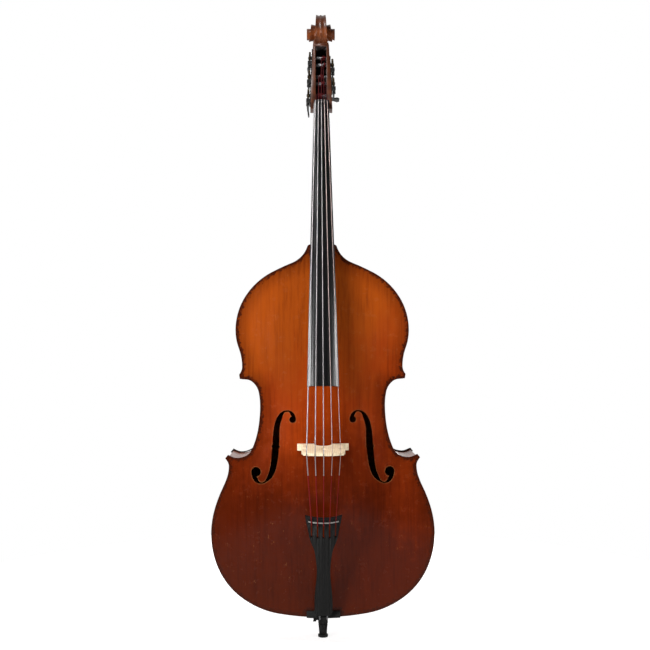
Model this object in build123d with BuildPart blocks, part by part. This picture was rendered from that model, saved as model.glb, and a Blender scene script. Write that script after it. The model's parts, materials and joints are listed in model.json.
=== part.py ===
from build123d import *
import math
import os

# A three quarter size double bass with five strings. Millimetres, +Z up, the front faces -Y.
# The origin is where the rubber foot of the endpin meets the floor, on the endpin's axis.

# ---------------------------------------------------------------- driving dimensions
# outline of both plates: half widths, and heights above the body's bottom edge
body_bottom = 88
body_length = 1118
lower_bout_width = 670
lower_bout_height = 249
waist_width = 376
waist_height = 631
upper_bout_width = 524
upper_bout_height = 859
neck_end_width = 92
lower_corner_half = 293
lower_corner_height = 474
upper_corner_half = 251
upper_corner_height = 712
corner_width = 13

# sound box
rib_depth_bottom = 195
rib_depth_top = 170
rib_thickness = 3
plate_overhang = 5
plate_edge = 7
plate_middle = 8
front_arch = 26
back_arch = 30
lining_width = 8
lining_height = 24
block_depth = 46
end_block_width = 130
neck_block_width = 150
corner_block_reach = 62
button_radius = 25
bass_bar_length = 760
bass_bar_width = 20
bass_bar_height = 34
bass_bar_end_sink = 5
bass_bar_offset = 45
sound_post_radius = 9
sound_post_offset = 48
sound_post_drop = 26

# f-holes: eyes by their distance from the centre line and height above the bottom edge
bridge_line = 510
upper_eye_radius = 10
upper_eye_half = 90
upper_eye_height = 590
lower_eye_radius = 14.5
lower_eye_half = 200.5
lower_eye_height = 434
stem_width = 21
stem_half = 130.5
nick_depth = 3

# neck, fingerboard and nut: along the neck from the nut, square to the fingerboard's glue face
neck_angle = 9.5
overstand = 50
nut_above_body = 434.5
neck_root_depth = 34
heel_rise = 27
heel_depth = 195
heel_fall = 42
heel_sweep = 110
heel_top = 140
heel_back_half = 23
heel_back_round = 12
neck_heel_half = 35
neck_depth_at_heel = 34
neck_depth_at_nut = 29
fingerboard_length = 874
fingerboard_edge = 11
fingerboard_radius = 95
fingerboard_top_width = 47
fingerboard_end_width = 93
fingerboard_wall = 8
fingerboard_scoop = 9
nut_length = 10
nut_rise = 1.2
nut_bend_along = 5
nut_round = 3
string_action = 9

# pegbox and scroll
pegbox_start = -14
pegbox_half_start = 34
pegbox_half_end = 25
pegbox_end = 202
mortise_start = 12
mortise_end = 196
mortise_half = 17
mortise_floor = 13
scroll_centre_along = 249
scroll_centre_out = -25
scroll_radius = 62
scroll_shrink = 0.00184
scroll_turns_angle = 630
scroll_half_start = 13.5
scroll_half_end = 40
scroll_eye_radius = 17.5
scroll_eye_half = 44

# strings: name, radius, roller place along the neck, side of its machine, winding place across
string_names = ["b", "e", "a", "d", "g"]
string_radii = [1.6, 1.4, 1.2, 1.0, 0.85]
roller_places = [38, 101, 164, 141, 78]
machine_sides = [-1, -1, -1, 1, 1]
winding_places = [-12, -7, 1, 6, 12]
nut_spacing = 9
bridge_spacing = 24
tail_spacing = 17.5
string_gap = 0.3
rod_sides = 12

# tuning machines
roller_radius = 6
running_gap = 0.05
roller_height = -18
plate_thickness = 2.5
plate_width = 34
plate_above = 26
plate_below = 33.5
plate_corner = 6
gear_teeth = 20
gear_tip_radius = 18.7
gear_root_radius = 16.4
gear_thickness = 6
gear_gap = 2.9
roller_short = 2
worm_centre = 22.2
worm_length = 20
key_radius = 3.2
key_reach = 46
wing_span = 38
wing_length = 28
wing_thickness = 4
lug_length = 6
lug_width = 11
clearance = 0.3
wing_turns = [80, 95, 70, 100, 12]

# bridge
bridge_foot_width = 153
bridge_foot_length = 50
bridge_crown_width = 114
bridge_foot_thickness = 21
bridge_crown_thickness = 7

# tailpiece, its wire and the saddle
saddle_width = 100
saddle_length = 20
saddle_height = 14
saddle_round = 3
saddle_ridge = 7
saddle_back_height = 5
tailpiece_length = 318
tailpiece_start = 14
tailpiece_radius = 100
tailpiece_thickness = 9
fret_from_end = 13
fret_height = 2.5
fret_length = 3
slot_length = 40
slot_width = 4
slot_from_fret = 5
ball_radius = 3.2
fret_overhang = 9
wire_hold = 14
string_hole_radius = 3.5
tail_wire_radius = 2
tail_wire_half = 11

# endpin, from the floor up
foot_height = 39
foot_radius = 12
foot_flare = 3.5
foot_flare_height = 8
rod_radius = 5
rod_length = 470
rod_in_foot = 26
ferrule_bottom = 41
ferrule_height = 26
ferrule_radius = 15
plug_collar_radius = 17
plug_radius = 14
slide_gap = 0.1
screw_height = 53
screw_radius = 3
screw_reach = 26
screw_wing_span = 14
screw_wing_length = 11

# ---------------------------------------------------------------- planes and helpers
body_top = body_bottom + body_length
front_joint_y = -rib_depth_bottom / 2
front_face_y = front_joint_y - plate_edge
back_tilt = math.degrees(math.atan2(rib_depth_bottom - rib_depth_top, body_length))
front_joint = Plane((0, front_joint_y, body_bottom), x_dir=(1, 0, 0), z_dir=(0, -1, 0))
back_joint = Plane((0, -front_joint_y, body_bottom), x_dir=(-1, 0, 0), z_dir=(0, 1, 0))
back_joint = back_joint.rotated((back_tilt, 0, 0))


def back_joint_y(height):
    return -front_joint_y - height * math.tan(math.radians(back_tilt))


def heading(angle):
    return Vector(math.cos(math.radians(angle)), math.sin(math.radians(angle)))


def arc_pair(start, end):
    """Two arcs that leave one point and reach the next, each on its own heading."""
    first, last = Vector(*start[:2]), Vector(*end[:2])
    leave, reach = heading(start[2]), heading(end[2])
    span, bend = last - first, 2 * (1 - leave.dot(reach))
    along = span.dot(leave + reach)
    pull = span.dot(span) / (along + math.sqrt(along**2 + bend * span.dot(span)))
    join = (first + last + (leave - reach) * pull) * 0.5
    TangentArc(first, join, tangent=leave)
    TangentArc(last, join, tangent=-reach)


def half_outline():
    """Points of the outline with their headings, from the neck down to the endpin."""
    lower_half, upper_half, waist_half = lower_bout_width / 2, upper_bout_width / 2, waist_width / 2
    upper_run = [
        (neck_end_width / 2, body_length - 10, 291),
        (upper_half * 0.588, body_length - 85, 332),
        (upper_half, upper_bout_height, 270),
        (upper_corner_half - 9, upper_corner_height + 37, 270),
        (upper_corner_half, upper_corner_height + corner_width, 310),
    ]
    waist_run = [
        (upper_corner_half - 2, upper_corner_height, 190),
        (waist_half + 25, upper_corner_height - 8, 216),
        (waist_half, waist_height, 270),
        (waist_half + 25, lower_corner_height + 26, 294),
        (lower_corner_half - 35, lower_corner_height + 1, 0),
        (lower_corner_half - 8, lower_corner_height + 10, 22),
    ]
    lower_run = [
        (lower_corner_half, lower_corner_height, 230),
        (lower_corner_half - 11, lower_corner_height - 24, 270),
        (lower_corner_half + 7, lower_corner_height - 87, 296),
        (lower_half, lower_bout_height, 270),
        (lower_half * 0.74, 63, 218),
        (0, 0, 180),
    ]
    return upper_run, waist_run, lower_run


with BuildSketch() as plate_outline:
    with BuildLine():
        runs = half_outline()
        Line((0, body_length), (neck_end_width / 2 - 8, body_length))
        RadiusArc((neck_end_width / 2 - 8, body_length), runs[0][0][:2], 12)
        for run in runs:
            for start, end in zip(run, run[1:]):
                arc_pair(start, end)
        Line(runs[0][-1][:2], runs[1][0][:2])
        Line(runs[1][-1][:2], runs[2][0][:2])
        mirror(about=Plane.YZ)
    make_face()


def inset_outline(inset):
    """The plates' outline moved inwards, as the ribs, linings and blocks follow it."""
    with BuildSketch() as inner:
        add(plate_outline.sketch)
        offset(amount=-inset)
    return inner.sketch


rib_outside = inset_outline(plate_overhang)
rib_inside = inset_outline(plate_overhang + rib_thickness)
lining_inside = inset_outline(plate_overhang + rib_thickness + lining_width)


def arch_half_width(height, margin):
    """Half width of a plate's arching, which passes the corners in one sweep."""
    stations = [
        (lower_bout_height, lower_bout_width / 2),
        (waist_height, waist_width / 2),
        (upper_bout_height, upper_bout_width / 2),
    ]
    if height <= stations[0][0]:
        return stations[0][1] - margin
    for (low, narrow), (high, wide) in zip(stations, stations[1:]):
        if height <= high:
            share = (1 - math.cos(math.pi * (height - low) / (high - low))) / 2
            return narrow + (wide - narrow) * share - margin
    return stations[-1][1] - margin


def arched_face(joint, base, crown, side_margin, end_margin):
    """One side of an arched plate: flat round the edge, and highest in the middle."""
    across_steps, along_steps, spare = 24, 40, heel_rise + 10
    reach, middle = lower_bout_width / 2 + spare, body_length / 2
    rows = []
    for j in range(along_steps + 1):
        height = -spare + (body_length + 2 * spare) * j / along_steps
        end_share = min(1, abs(height - middle) / (middle - end_margin))
        row = []
        for i in range(across_steps + 1):
            across = -reach + 2 * reach * i / across_steps
            side_share = min(1, abs(across) / arch_half_width(height, side_margin))
            arch = crown * (1 - side_share**2.6) ** 2 * (1 - end_share**3) ** 2
            row.append(joint.from_local_coords((across, height, base + arch)))
        rows.append(row)
    return Face.make_surface_from_array_of_points(rows, tol=0.1, min_deg=3, max_deg=3)


inner_sink = 0.5
front_outer = arched_face(front_joint, plate_edge, front_arch, 12, 12)
front_crown = front_arch + plate_edge - plate_middle
front_inner = arched_face(front_joint, -inner_sink, front_crown + inner_sink, 26, block_depth + 8)
back_outer = arched_face(back_joint, plate_edge, back_arch, 12, 12)
back_crown = back_arch + plate_edge - plate_middle
back_inner = arched_face(back_joint, -inner_sink, back_crown + inner_sink, 26, block_depth + 8)

os.makedirs("parts", exist_ok=True)


def keep_piece(piece, name):
    piece.part.label = name
    export_step(piece.part, f"parts/{name}.step")


# ---------------------------------------------------------------- neck and its planes
front_y_at_top = front_face_y - overstand
tilt = math.radians(neck_angle)
nut_point = Vector(0, front_y_at_top + nut_above_body * math.tan(tilt), body_top + nut_above_body)
up_neck = Vector(0, math.sin(tilt), math.cos(tilt))
off_neck = Vector(0, -math.cos(tilt), math.sin(tilt))
glue_plane = Plane(nut_point, x_dir=(1, 0, 0), z_dir=off_neck)
side_plane = Plane(nut_point, x_dir=up_neck, z_dir=(1, 0, 0))


def across_neck(along):
    """Plane square to the neck: x runs across it and y out of the glue face."""
    return Plane(nut_point + up_neck * along, x_dir=(-1, 0, 0), z_dir=up_neck)


def glue_y(height):
    return front_y_at_top + (height - body_top) * math.tan(tilt)


def neck_section(above_body, depth, front_half, back_half, back_round):
    """Level section of the neck; it stands proud of the glue face, where it is cut off."""
    height = body_top + above_body
    front, spare = glue_y(height), 12
    with BuildSketch(Plane.XY.offset(height)) as section:
        with BuildLine():
            corner = (back_half, front + depth - back_round)
            Polyline(
                (-corner[0], corner[1]),
                (-front_half, front),
                (-front_half, front - spare),
                (front_half, front - spare),
                (front_half, front),
                corner,
            )
            ThreePointArc(corner, (0, front + depth), (-corner[0], corner[1]))
        make_face()
    return section.sketch


def neck_profile(above_body):
    """Depth, half widths and rounding of the neck: the heel sweeps down from a slim shaft."""
    rise = max(0, above_body - heel_rise)
    shaft_share = min(1, rise / heel_sweep)
    shaft_share = shaft_share**2 * (3 - 2 * shaft_share)
    up_share = above_body / nut_above_body
    shaft_depth = neck_depth_at_heel + (neck_depth_at_nut - neck_depth_at_heel) * up_share
    depth = shaft_depth + heel_depth * math.exp(-((rise / heel_fall) ** 1.5))
    nut_half = fingerboard_top_width / 2
    front_half = neck_heel_half + (nut_half - neck_heel_half) * up_share
    shaft_half = front_half * 0.86
    back_half = heel_back_half + (shaft_half - heel_back_half) * shaft_share
    back_round = heel_back_round + (shaft_depth * 0.55 - heel_back_round) * shaft_share
    return above_body, depth, front_half, back_half, back_round


with BuildPart() as neck_root:
    add(neck_section(*neck_profile(0)))
    extrude(amount=-neck_root_depth)
    split(bisect_by=glue_plane, keep=Keep.BOTTOM)
    split(bisect_by=back_joint, keep=Keep.BOTTOM)


def cheek_half(along):
    """Half width across the outside of the pegbox."""
    slope = (pegbox_half_end - pegbox_half_start) / (pegbox_end - pegbox_start)
    return pegbox_half_start + slope * (along - pegbox_start)


def scroll_reach(angle):
    """Radius of the volute, which starts round and then winds in."""
    return scroll_radius * math.exp(-scroll_shrink * max(0, angle))


def scroll_half(angle):
    """Half width of the volute: least over its top, and widest at the eye."""
    if angle < 0:
        return scroll_half_start - angle * 0.06
    return scroll_half_start + (scroll_half_end - scroll_half_start) * angle / scroll_turns_angle


def scroll_section(angle):
    """Radial section of the volute with its two flutes and hollowed flanks."""
    turn = math.radians(angle)
    outward = up_neck * math.cos(turn) + off_neck * math.sin(turn)
    centre = side_plane.from_local_coords((scroll_centre_along, scroll_centre_out, 0))
    plane = Plane(centre, x_dir=outward, z_dir=outward.cross(Vector(1, 0, 0)))
    reach, half, core = scroll_reach(angle), scroll_half(angle), 6
    edge, flute, hollow = 2.5, 2.2, 1.6
    with BuildSketch(plane) as section:
        with BuildLine():
            Line((core, 0), (core, half))
            ThreePointArc((core, half), ((core + reach) / 2, half - hollow), (reach, half))
            Line((reach, half), (reach, half - edge))
            ThreePointArc((reach, half - edge), (reach - flute, (half - edge) / 2), (reach, 0))
            mirror(about=Plane.XZ)
        make_face()
    return section.sketch


with BuildPart() as scroll_outer_turn:
    for step in range(9):
        add(scroll_section(-118 + 352 * step / 8))
    loft()
with BuildPart() as scroll_inner_turn:
    for step in range(9):
        add(scroll_section(230 + 352 * step / 8))
    loft()

with BuildPart() as pegbox:
    with BuildSketch(side_plane):
        with BuildLine():
            back_turn = math.radians(-118)
            scroll_back = (
                scroll_centre_along + scroll_radius * math.cos(back_turn),
                scroll_centre_out + scroll_radius * math.sin(back_turn),
            )
            Polyline(
                (pegbox_start, -30),
                (pegbox_start, 0),
                (pegbox_end - 4, 0),
                (scroll_centre_along, scroll_centre_out),
                scroll_back,
            )
            Spline(
                scroll_back,
                (190, -62),
                (150, -57.5),
                (80, -58),
                (20, -45),
                (pegbox_start, -30),
                tangents=((math.sin(back_turn), -math.cos(back_turn)), (-1, 0.35)),
            )
        make_face()
    extrude(amount=pegbox_half_start + 5, both=True)
    with BuildSketch(glue_plane):
        with BuildLine():
            Polyline(
                (0, pegbox_start),
                (pegbox_half_start, pegbox_start),
                (pegbox_half_end, pegbox_end),
                (scroll_half(-118) - 0.5, pegbox_end + 22),
                (scroll_half(-90) - 0.5, scroll_centre_along),
                (0, scroll_centre_along),
            )
            mirror(about=Plane.YZ)
        make_face()
    extrude(amount=scroll_radius * 2, both=True, mode=Mode.INTERSECT)
    with BuildSketch(side_plane):
        with BuildLine():
            Polyline(
                (mortise_start, 20),
                (mortise_start, -45 + mortise_floor),
                (80, -58 + mortise_floor),
                (150, -57.5 + mortise_floor),
                (mortise_end, -56 + mortise_floor),
                (mortise_end, 20),
                close=True,
            )
        make_face()
    extrude(amount=mortise_half, both=True, mode=Mode.SUBTRACT)


def cheek_plane(place, side):
    """Plane on a cheek's outside over a roller: x up the cheek, z away from the pegbox."""
    lean = math.atan((pegbox_half_start - pegbox_half_end) / (pegbox_end - pegbox_start))
    outward = Vector(1, 0, 0) * side * math.cos(lean) + up_neck * math.sin(lean)
    upward = up_neck * math.cos(lean) - Vector(1, 0, 0) * side * math.sin(lean)
    origin = glue_plane.from_local_coords((side * cheek_half(place), place, roller_height))
    return Plane(origin, x_dir=upward, z_dir=outward)


machines = [cheek_plane(place, side) for place, side in zip(roller_places, machine_sides)]

with BuildPart() as neck:
    for step in range(5):
        add(neck_section(*neck_profile(heel_top * step / 4)))
    loft()
    add(neck_section(*neck_profile(heel_top)))
    add(neck_section(*neck_profile(nut_above_body)))
    loft(ruled=True)
    split(bisect_by=glue_plane, keep=Keep.BOTTOM)
    split(bisect_by=back_joint, keep=Keep.BOTTOM)
    add(neck_root.part)
    add(pegbox.part)
    add(scroll_outer_turn.part)
    add(scroll_inner_turn.part)
    with BuildSketch(side_plane):
        with Locations((scroll_centre_along, scroll_centre_out)):
            Circle(scroll_eye_radius)
    extrude(amount=scroll_eye_half, both=True)
    for plane in machines:
        with BuildSketch(plane):
            Circle(roller_radius + running_gap)
        extrude(amount=-2.5 * pegbox_half_start, mode=Mode.SUBTRACT)
keep_piece(neck, "neck")

# ---------------------------------------------------------------- plates
with BuildPart() as back_plate:
    with BuildSketch(back_joint):
        add(plate_outline.sketch)
        with Locations((0, body_length - plate_overhang + heel_rise - button_radius)):
            Circle(button_radius)
    extrude(amount=plate_edge + back_arch + 5)
    split(bisect_by=back_outer, keep=Keep.TOP)
    split(bisect_by=back_inner, keep=Keep.BOTTOM)
keep_piece(back_plate, "back_plate")

upper_eye = (upper_eye_half, upper_eye_height)
lower_eye = (lower_eye_half, lower_eye_height)
stem_outer = stem_half + stem_width
outer_side = [
    (upper_eye_half - upper_eye_radius, upper_eye_height, 90),
    (upper_eye_half + 15.5, upper_eye_height + 28, 0),
    (stem_outer - 8, upper_eye_height - 10, 285),
    (stem_outer, bridge_line, 275),
    (stem_outer + 13.5, lower_eye_height - 9, 292),
    (lower_eye_half - 17, lower_eye_height - 31, 0),
    (lower_eye_half - 2, lower_eye_height - 13.5, 62),
]
inner_side = [
    (upper_eye_half + 3, upper_eye_height + 9, 55),
    (upper_eye_half + 15.5, upper_eye_height + 23.5, 0),
    (stem_half - 6, upper_eye_height - 5, 288),
    (stem_half, bridge_line, 275),
    (stem_half + 8, lower_eye_height + 16, 283),
    (lower_eye_half - 38, lower_eye_height - 26, 325),
    (lower_eye_half - 14, lower_eye_height - 35.5, 0),
    (lower_eye_half + lower_eye_radius, lower_eye_height, 90),
]
with BuildSketch() as f_hole:
    with BuildLine():
        for side in (outer_side, inner_side):
            for start, end in zip(side, side[1:]):
                arc_pair(start, end)
        Line(outer_side[0][:2], inner_side[0][:2])
        Line(outer_side[-1][:2], inner_side[-1][:2])
    make_face()
    with Locations(upper_eye):
        Circle(upper_eye_radius)
    with Locations(lower_eye):
        Circle(lower_eye_radius)
    for edge_half, way in ((stem_half, -1), (stem_half + stem_width, 1)):
        with Locations((edge_half, bridge_line)):
            Polygon(
                (-way, 2 * nick_depth),
                (way * nick_depth, 0),
                (-way, -2 * nick_depth),
                align=None,
            )

with BuildPart() as front_plate:
    with BuildSketch(front_joint):
        add(plate_outline.sketch)
    extrude(amount=plate_edge + front_arch + 5)
    split(bisect_by=front_outer, keep=Keep.TOP)
    split(bisect_by=front_inner, keep=Keep.BOTTOM)
    with BuildSketch(front_joint):
        add(f_hole.sketch)
        mirror(about=Plane.YZ)
    extrude(amount=3 * front_arch, both=True, mode=Mode.SUBTRACT)
    with BuildSketch(front_joint):
        with Locations((0, saddle_length / 2)):
            Rectangle(saddle_width, saddle_length)
    extrude(amount=plate_edge + front_arch, mode=Mode.SUBTRACT)
    add(neck_root.part, mode=Mode.SUBTRACT)
keep_piece(front_plate, "front_plate")


# ---------------------------------------------------------------- ribs, linings and blocks
corner_joint_low = lower_corner_height - plate_overhang - rib_thickness - 1
corner_joint_high = upper_corner_height + corner_width / 2
rib_spans = {
    "lower": (-1, corner_joint_low),
    "middle": (corner_joint_low, corner_joint_high),
    "upper": (corner_joint_high, body_length + 1),
}
side_names = {"bass": -1, "treble": 1}


def full_depth(profile):
    """A profile of the body carried from the front plate to the leaning back plate."""
    with BuildPart() as prism:
        with BuildSketch(front_joint):
            add(profile)
        extrude(amount=-rib_depth_bottom - 1)
        split(bisect_by=back_joint, keep=Keep.BOTTOM)
    return prism.part


for span, (low, high) in rib_spans.items():
    for side, way in side_names.items():
        with BuildSketch() as rib_profile:
            add(rib_outside)
            add(rib_inside, mode=Mode.SUBTRACT)
            with Locations((way * lower_bout_width / 2, (low + high) / 2)):
                Rectangle(lower_bout_width, high - low, mode=Mode.INTERSECT)
        with BuildPart() as rib:
            add(full_depth(rib_profile.sketch))
            if span == "upper":
                add(neck_root.part, mode=Mode.SUBTRACT)
            if span == "lower":
                with BuildSketch(Plane.XY.offset(body_bottom)):
                    Circle(plug_radius)
                extrude(amount=block_depth, mode=Mode.SUBTRACT)
        keep_piece(rib, f"{span}_rib_{side}")

with BuildSketch() as neck_block_profile:
    with Locations((0, body_length)):
        Rectangle(neck_block_width, 2 * (block_depth + plate_overhang + rib_thickness))
    add(rib_inside, mode=Mode.INTERSECT)
with BuildPart() as neck_block:
    add(full_depth(neck_block_profile.sketch))
    add(neck_root.part, mode=Mode.SUBTRACT)
keep_piece(neck_block, "neck_block")

with BuildSketch() as end_block_profile:
    Rectangle(end_block_width, 2 * (block_depth + plate_overhang + rib_thickness))
    add(rib_inside, mode=Mode.INTERSECT)
with BuildPart() as end_block:
    add(full_depth(end_block_profile.sketch))
    with BuildSketch(Plane.XY.offset(body_bottom)):
        Circle(plug_radius)
    extrude(amount=2 * block_depth, mode=Mode.SUBTRACT)
keep_piece(end_block, "end_block")

corners = {
    "upper_corner_blocks": (upper_corner_half - 6, upper_corner_height + corner_width / 2),
    "lower_corner_blocks": (lower_corner_half - 4, lower_corner_height + corner_width / 2 - 2),
}
block_profiles = {}
for name, (across, height) in corners.items():
    with BuildSketch() as block_profile:
        with Locations((across, height), (-across, height)):
            Circle(corner_block_reach)
        add(rib_inside, mode=Mode.INTERSECT)
    block_profiles[name] = block_profile.sketch
    with BuildPart() as corner_blocks:
        add(full_depth(block_profile.sketch))
    keep_piece(corner_blocks, name)

with BuildSketch() as lining_profile:
    add(rib_inside)
    add(lining_inside, mode=Mode.SUBTRACT)
    add(neck_block_profile.sketch, mode=Mode.SUBTRACT)
    add(end_block_profile.sketch, mode=Mode.SUBTRACT)
    for block_shape in block_profiles.values():
        add(block_shape, mode=Mode.SUBTRACT)
with BuildPart() as front_linings:
    with BuildSketch(front_joint):
        add(lining_profile.sketch)
    extrude(amount=-lining_height)
keep_piece(front_linings, "front_linings")
with BuildPart() as back_linings:
    add(full_depth(lining_profile.sketch))
    split(bisect_by=back_joint.offset(-lining_height), keep=Keep.TOP)
keep_piece(back_linings, "back_linings")

# ---------------------------------------------------------------- bass bar and sound post
bar_low = body_bottom + (body_length - bass_bar_length) / 2
with BuildPart() as bass_bar:
    with BuildSketch(Plane.YZ.offset(-bass_bar_offset)):
        with BuildLine():
            bar_high = bar_low + bass_bar_length
            bar_end_y = front_joint_y - bass_bar_end_sink
            bar_back_y = front_joint_y - front_crown + bass_bar_height
            outer_y = front_face_y - front_arch
            Polyline((bar_end_y, bar_low), (outer_y, bar_low), (outer_y, bar_high), (bar_end_y, bar_high))
            ThreePointArc(
                (bar_end_y, bar_low), (bar_back_y, (bar_low + bar_high) / 2), (bar_end_y, bar_high)
            )
        make_face()
    extrude(amount=bass_bar_width / 2, both=True)
    split(bisect_by=front_inner, keep=Keep.TOP)
keep_piece(bass_bar, "bass_bar")

with BuildPart() as sound_post:
    with BuildSketch(Plane.XZ):
        with Locations((sound_post_offset, body_bottom + bridge_line - sound_post_drop)):
            Circle(sound_post_radius)
    extrude(amount=rib_depth_bottom, both=True)
    split(bisect_by=front_inner, keep=Keep.TOP)
    split(bisect_by=back_inner, keep=Keep.TOP)
keep_piece(sound_post, "sound_post")

# ---------------------------------------------------------------- fingerboard and nut


def board_crown(half):
    """Rise of the fingerboard's arch over its edges."""
    return fingerboard_radius - math.sqrt(fingerboard_radius**2 - half**2)


def tilted_bar(along, low, high, crown):
    """A bar across the neck with a round top, whose crown climbs from one end to the other."""
    start = glue_plane.from_local_coords((0, along, low))
    end = glue_plane.from_local_coords((0, -fingerboard_length, high))
    with BuildPart() as bar:
        with BuildSketch(Plane(start, x_dir=(1, 0, 0), z_dir=end - start)):
            with Locations((0, -crown)):
                Circle(crown)
        extrude(amount=(end - start).length + 20)
    return bar.part


board_nut_half = fingerboard_top_width / 2
board_end_half = fingerboard_end_width / 2
scoop_start = nut_above_body / math.cos(tilt) + neck_root_depth + 12
scoop_radius = (board_end_half - fingerboard_wall) ** 2 / (2 * fingerboard_scoop)
with BuildPart() as fingerboard:
    with BuildSketch(glue_plane):
        Polygon(
            (-board_nut_half, 0),
            (board_nut_half, 0),
            (board_end_half, -fingerboard_length),
            (-board_end_half, -fingerboard_length),
            align=None,
        )
    extrude(amount=fingerboard_radius)
    nut_top = fingerboard_edge + board_crown(board_nut_half)
    end_top = fingerboard_edge + board_crown(board_end_half)
    add(tilted_bar(0, nut_top, end_top, fingerboard_radius), mode=Mode.INTERSECT)
    add(tilted_bar(-scoop_start, 0, fingerboard_scoop, scoop_radius), mode=Mode.SUBTRACT)
keep_piece(fingerboard, "fingerboard")

strings = range(len(string_names))
nut_across = [nut_spacing * (i - 2) for i in strings]
crown_across = [bridge_spacing * (i - 2) for i in strings]
tail_across = [tail_spacing * (i - 2) for i in strings]


def board_top(across, half):
    """Height of the fingerboard's face over the glue face, at a place across it."""
    return fingerboard_edge + board_crown(half) - board_crown(abs(across))


def tangent_to_roller(start, centre, distance):
    """Where a line from a start passes a roller's front: (along, out) places on the neck."""
    reach = math.dist(start, centre)
    sight = math.atan2(centre[1] - start[1], centre[0] - start[0])
    turn = sight + math.asin(distance / reach)
    run = math.sqrt(reach**2 - distance**2)
    return start[0] + run * math.cos(turn), start[1] + run * math.sin(turn)


def round_rod(route, radius):
    """A wire or string of one thickness along its route, with many flat sides for a circle."""
    with BuildPart() as rod:
        with BuildSketch(Plane(route @ 0, z_dir=route % 0)):
            RegularPolygon(radius, rod_sides)
        sweep(path=route)
    return rod.part


# each string's seats, from its height over the fingerboard's two ends
crown_height = body_bottom + bridge_line - bridge_foot_thickness / 2 + bridge_crown_thickness / 2
board_share = fingerboard_length * math.cos(tilt) / (nut_point.Z - crown_height)
nut_places, crown_places = [], []
for i in strings:
    nut_out = board_top(nut_across[i], board_nut_half) + nut_rise + string_radii[i]
    end_across = nut_across[i] + (crown_across[i] - nut_across[i]) * board_share
    end_out = board_top(end_across, board_end_half) + string_action + string_radii[i]
    slope = (end_out - nut_out) / fingerboard_length
    drop = nut_point.Z + nut_out * math.sin(tilt) - crown_height
    along = drop / (math.cos(tilt) - slope * math.sin(tilt))
    nut_places.append((nut_across[i], nut_bend_along, nut_out - slope * nut_bend_along))
    crown_places.append(glue_plane.from_local_coords((crown_across[i], -along, nut_out + slope * along)))

# the line of pull from the saddle's edge to the bridge, and the tailpiece's own plane
wire_bend = saddle_round + tail_wire_radius + running_gap
saddle_front_y = front_face_y - saddle_height
edge_centre = Vector(0, saddle_front_y + saddle_round, body_bottom + saddle_round)
pull = crown_places[2] - edge_centre
pull_lean = math.atan2(-pull.Y, pull.Z) - math.asin(wire_bend / pull.length)
pull_line = Vector(0, -math.sin(pull_lean), math.cos(pull_lean))
corner_y = edge_centre.Y - wire_bend * (1 - math.sin(pull_lean)) / math.cos(pull_lean)
wire_height = edge_centre.Z - wire_bend
wire_corner = Vector(0, corner_y, wire_height)
fret_place = tailpiece_start + tailpiece_length - fret_from_end
tail_lift = tailpiece_thickness / 2 + fret_height + string_radii[2]
tail_lean = pull_lean - math.atan(tail_lift / fret_place)
tail_plane = Plane(
    wire_corner, x_dir=(1, 0, 0), z_dir=(0, -math.cos(tail_lean), -math.sin(tail_lean))
)


def tail_drop(across):
    """How far the tailpiece's arched face falls away beside its ridge."""
    return tailpiece_radius - math.sqrt(tailpiece_radius**2 - across**2)


slot_top = fret_place - fret_length / 2 - slot_from_fret
string_routes, string_bends = [], []
for i in strings:
    across, radius = tail_across[i], string_radii[i]
    face = tailpiece_thickness / 2 - tail_drop(across)
    over_fret = face + fret_height + radius
    slot_place = slot_top - slot_width / 2
    inside = tailpiece_radius - tailpiece_thickness
    under_drop = inside - math.sqrt(inside**2 - (abs(across) + ball_radius) ** 2)
    under = -tailpiece_thickness / 2 - under_drop - ball_radius - running_gap
    axis = machines[i]
    reach = (winding_places[i] - axis.origin.X) / axis.z_dir.X
    roller = glue_plane.to_local_coords(axis.origin + axis.z_dir * reach)
    last = tangent_to_roller(
        nut_places[i][1:], (roller.Y, roller.Z), roller_radius + radius + string_gap
    )
    string_routes.append(
        [
            tail_plane.from_local_coords((across, slot_place, under)),
            tail_plane.from_local_coords((across, slot_place, over_fret)),
            tail_plane.from_local_coords((across, fret_place, over_fret)),
            crown_places[i],
            glue_plane.from_local_coords(nut_places[i]),
            glue_plane.from_local_coords((winding_places[i], *last)),
        ]
    )


string_lines = []
for route_points in string_routes:
    with BuildLine() as string_line:
        FilletPolyline(*route_points, radius=[3, 10, 15, 5])
    string_lines.append(string_line.wire())
grooves = [round_rod(string_lines[i], string_radii[i] + running_gap) for i in strings]

groove_depth = min(string_radii)
with BuildPart() as nut:
    with BuildSketch(across_neck(0)):
        with BuildLine():
            side_top = board_top(board_nut_half, board_nut_half) + nut_rise + groove_depth
            middle_top = board_top(0, board_nut_half) + nut_rise + groove_depth
            left_top, right_top = (-board_nut_half, side_top), (board_nut_half, side_top)
            Polyline(left_top, (-board_nut_half, 0), (board_nut_half, 0), right_top)
            ThreePointArc(left_top, (0, middle_top), right_top)
        make_face()
    extrude(amount=nut_length)
    fillet(nut.edges().filter_by(GeomType.CIRCLE).sort_by(Axis.Z)[-1], nut_round)
    for groove in grooves:
        add(groove, mode=Mode.SUBTRACT)
keep_piece(nut, "nut")

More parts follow.
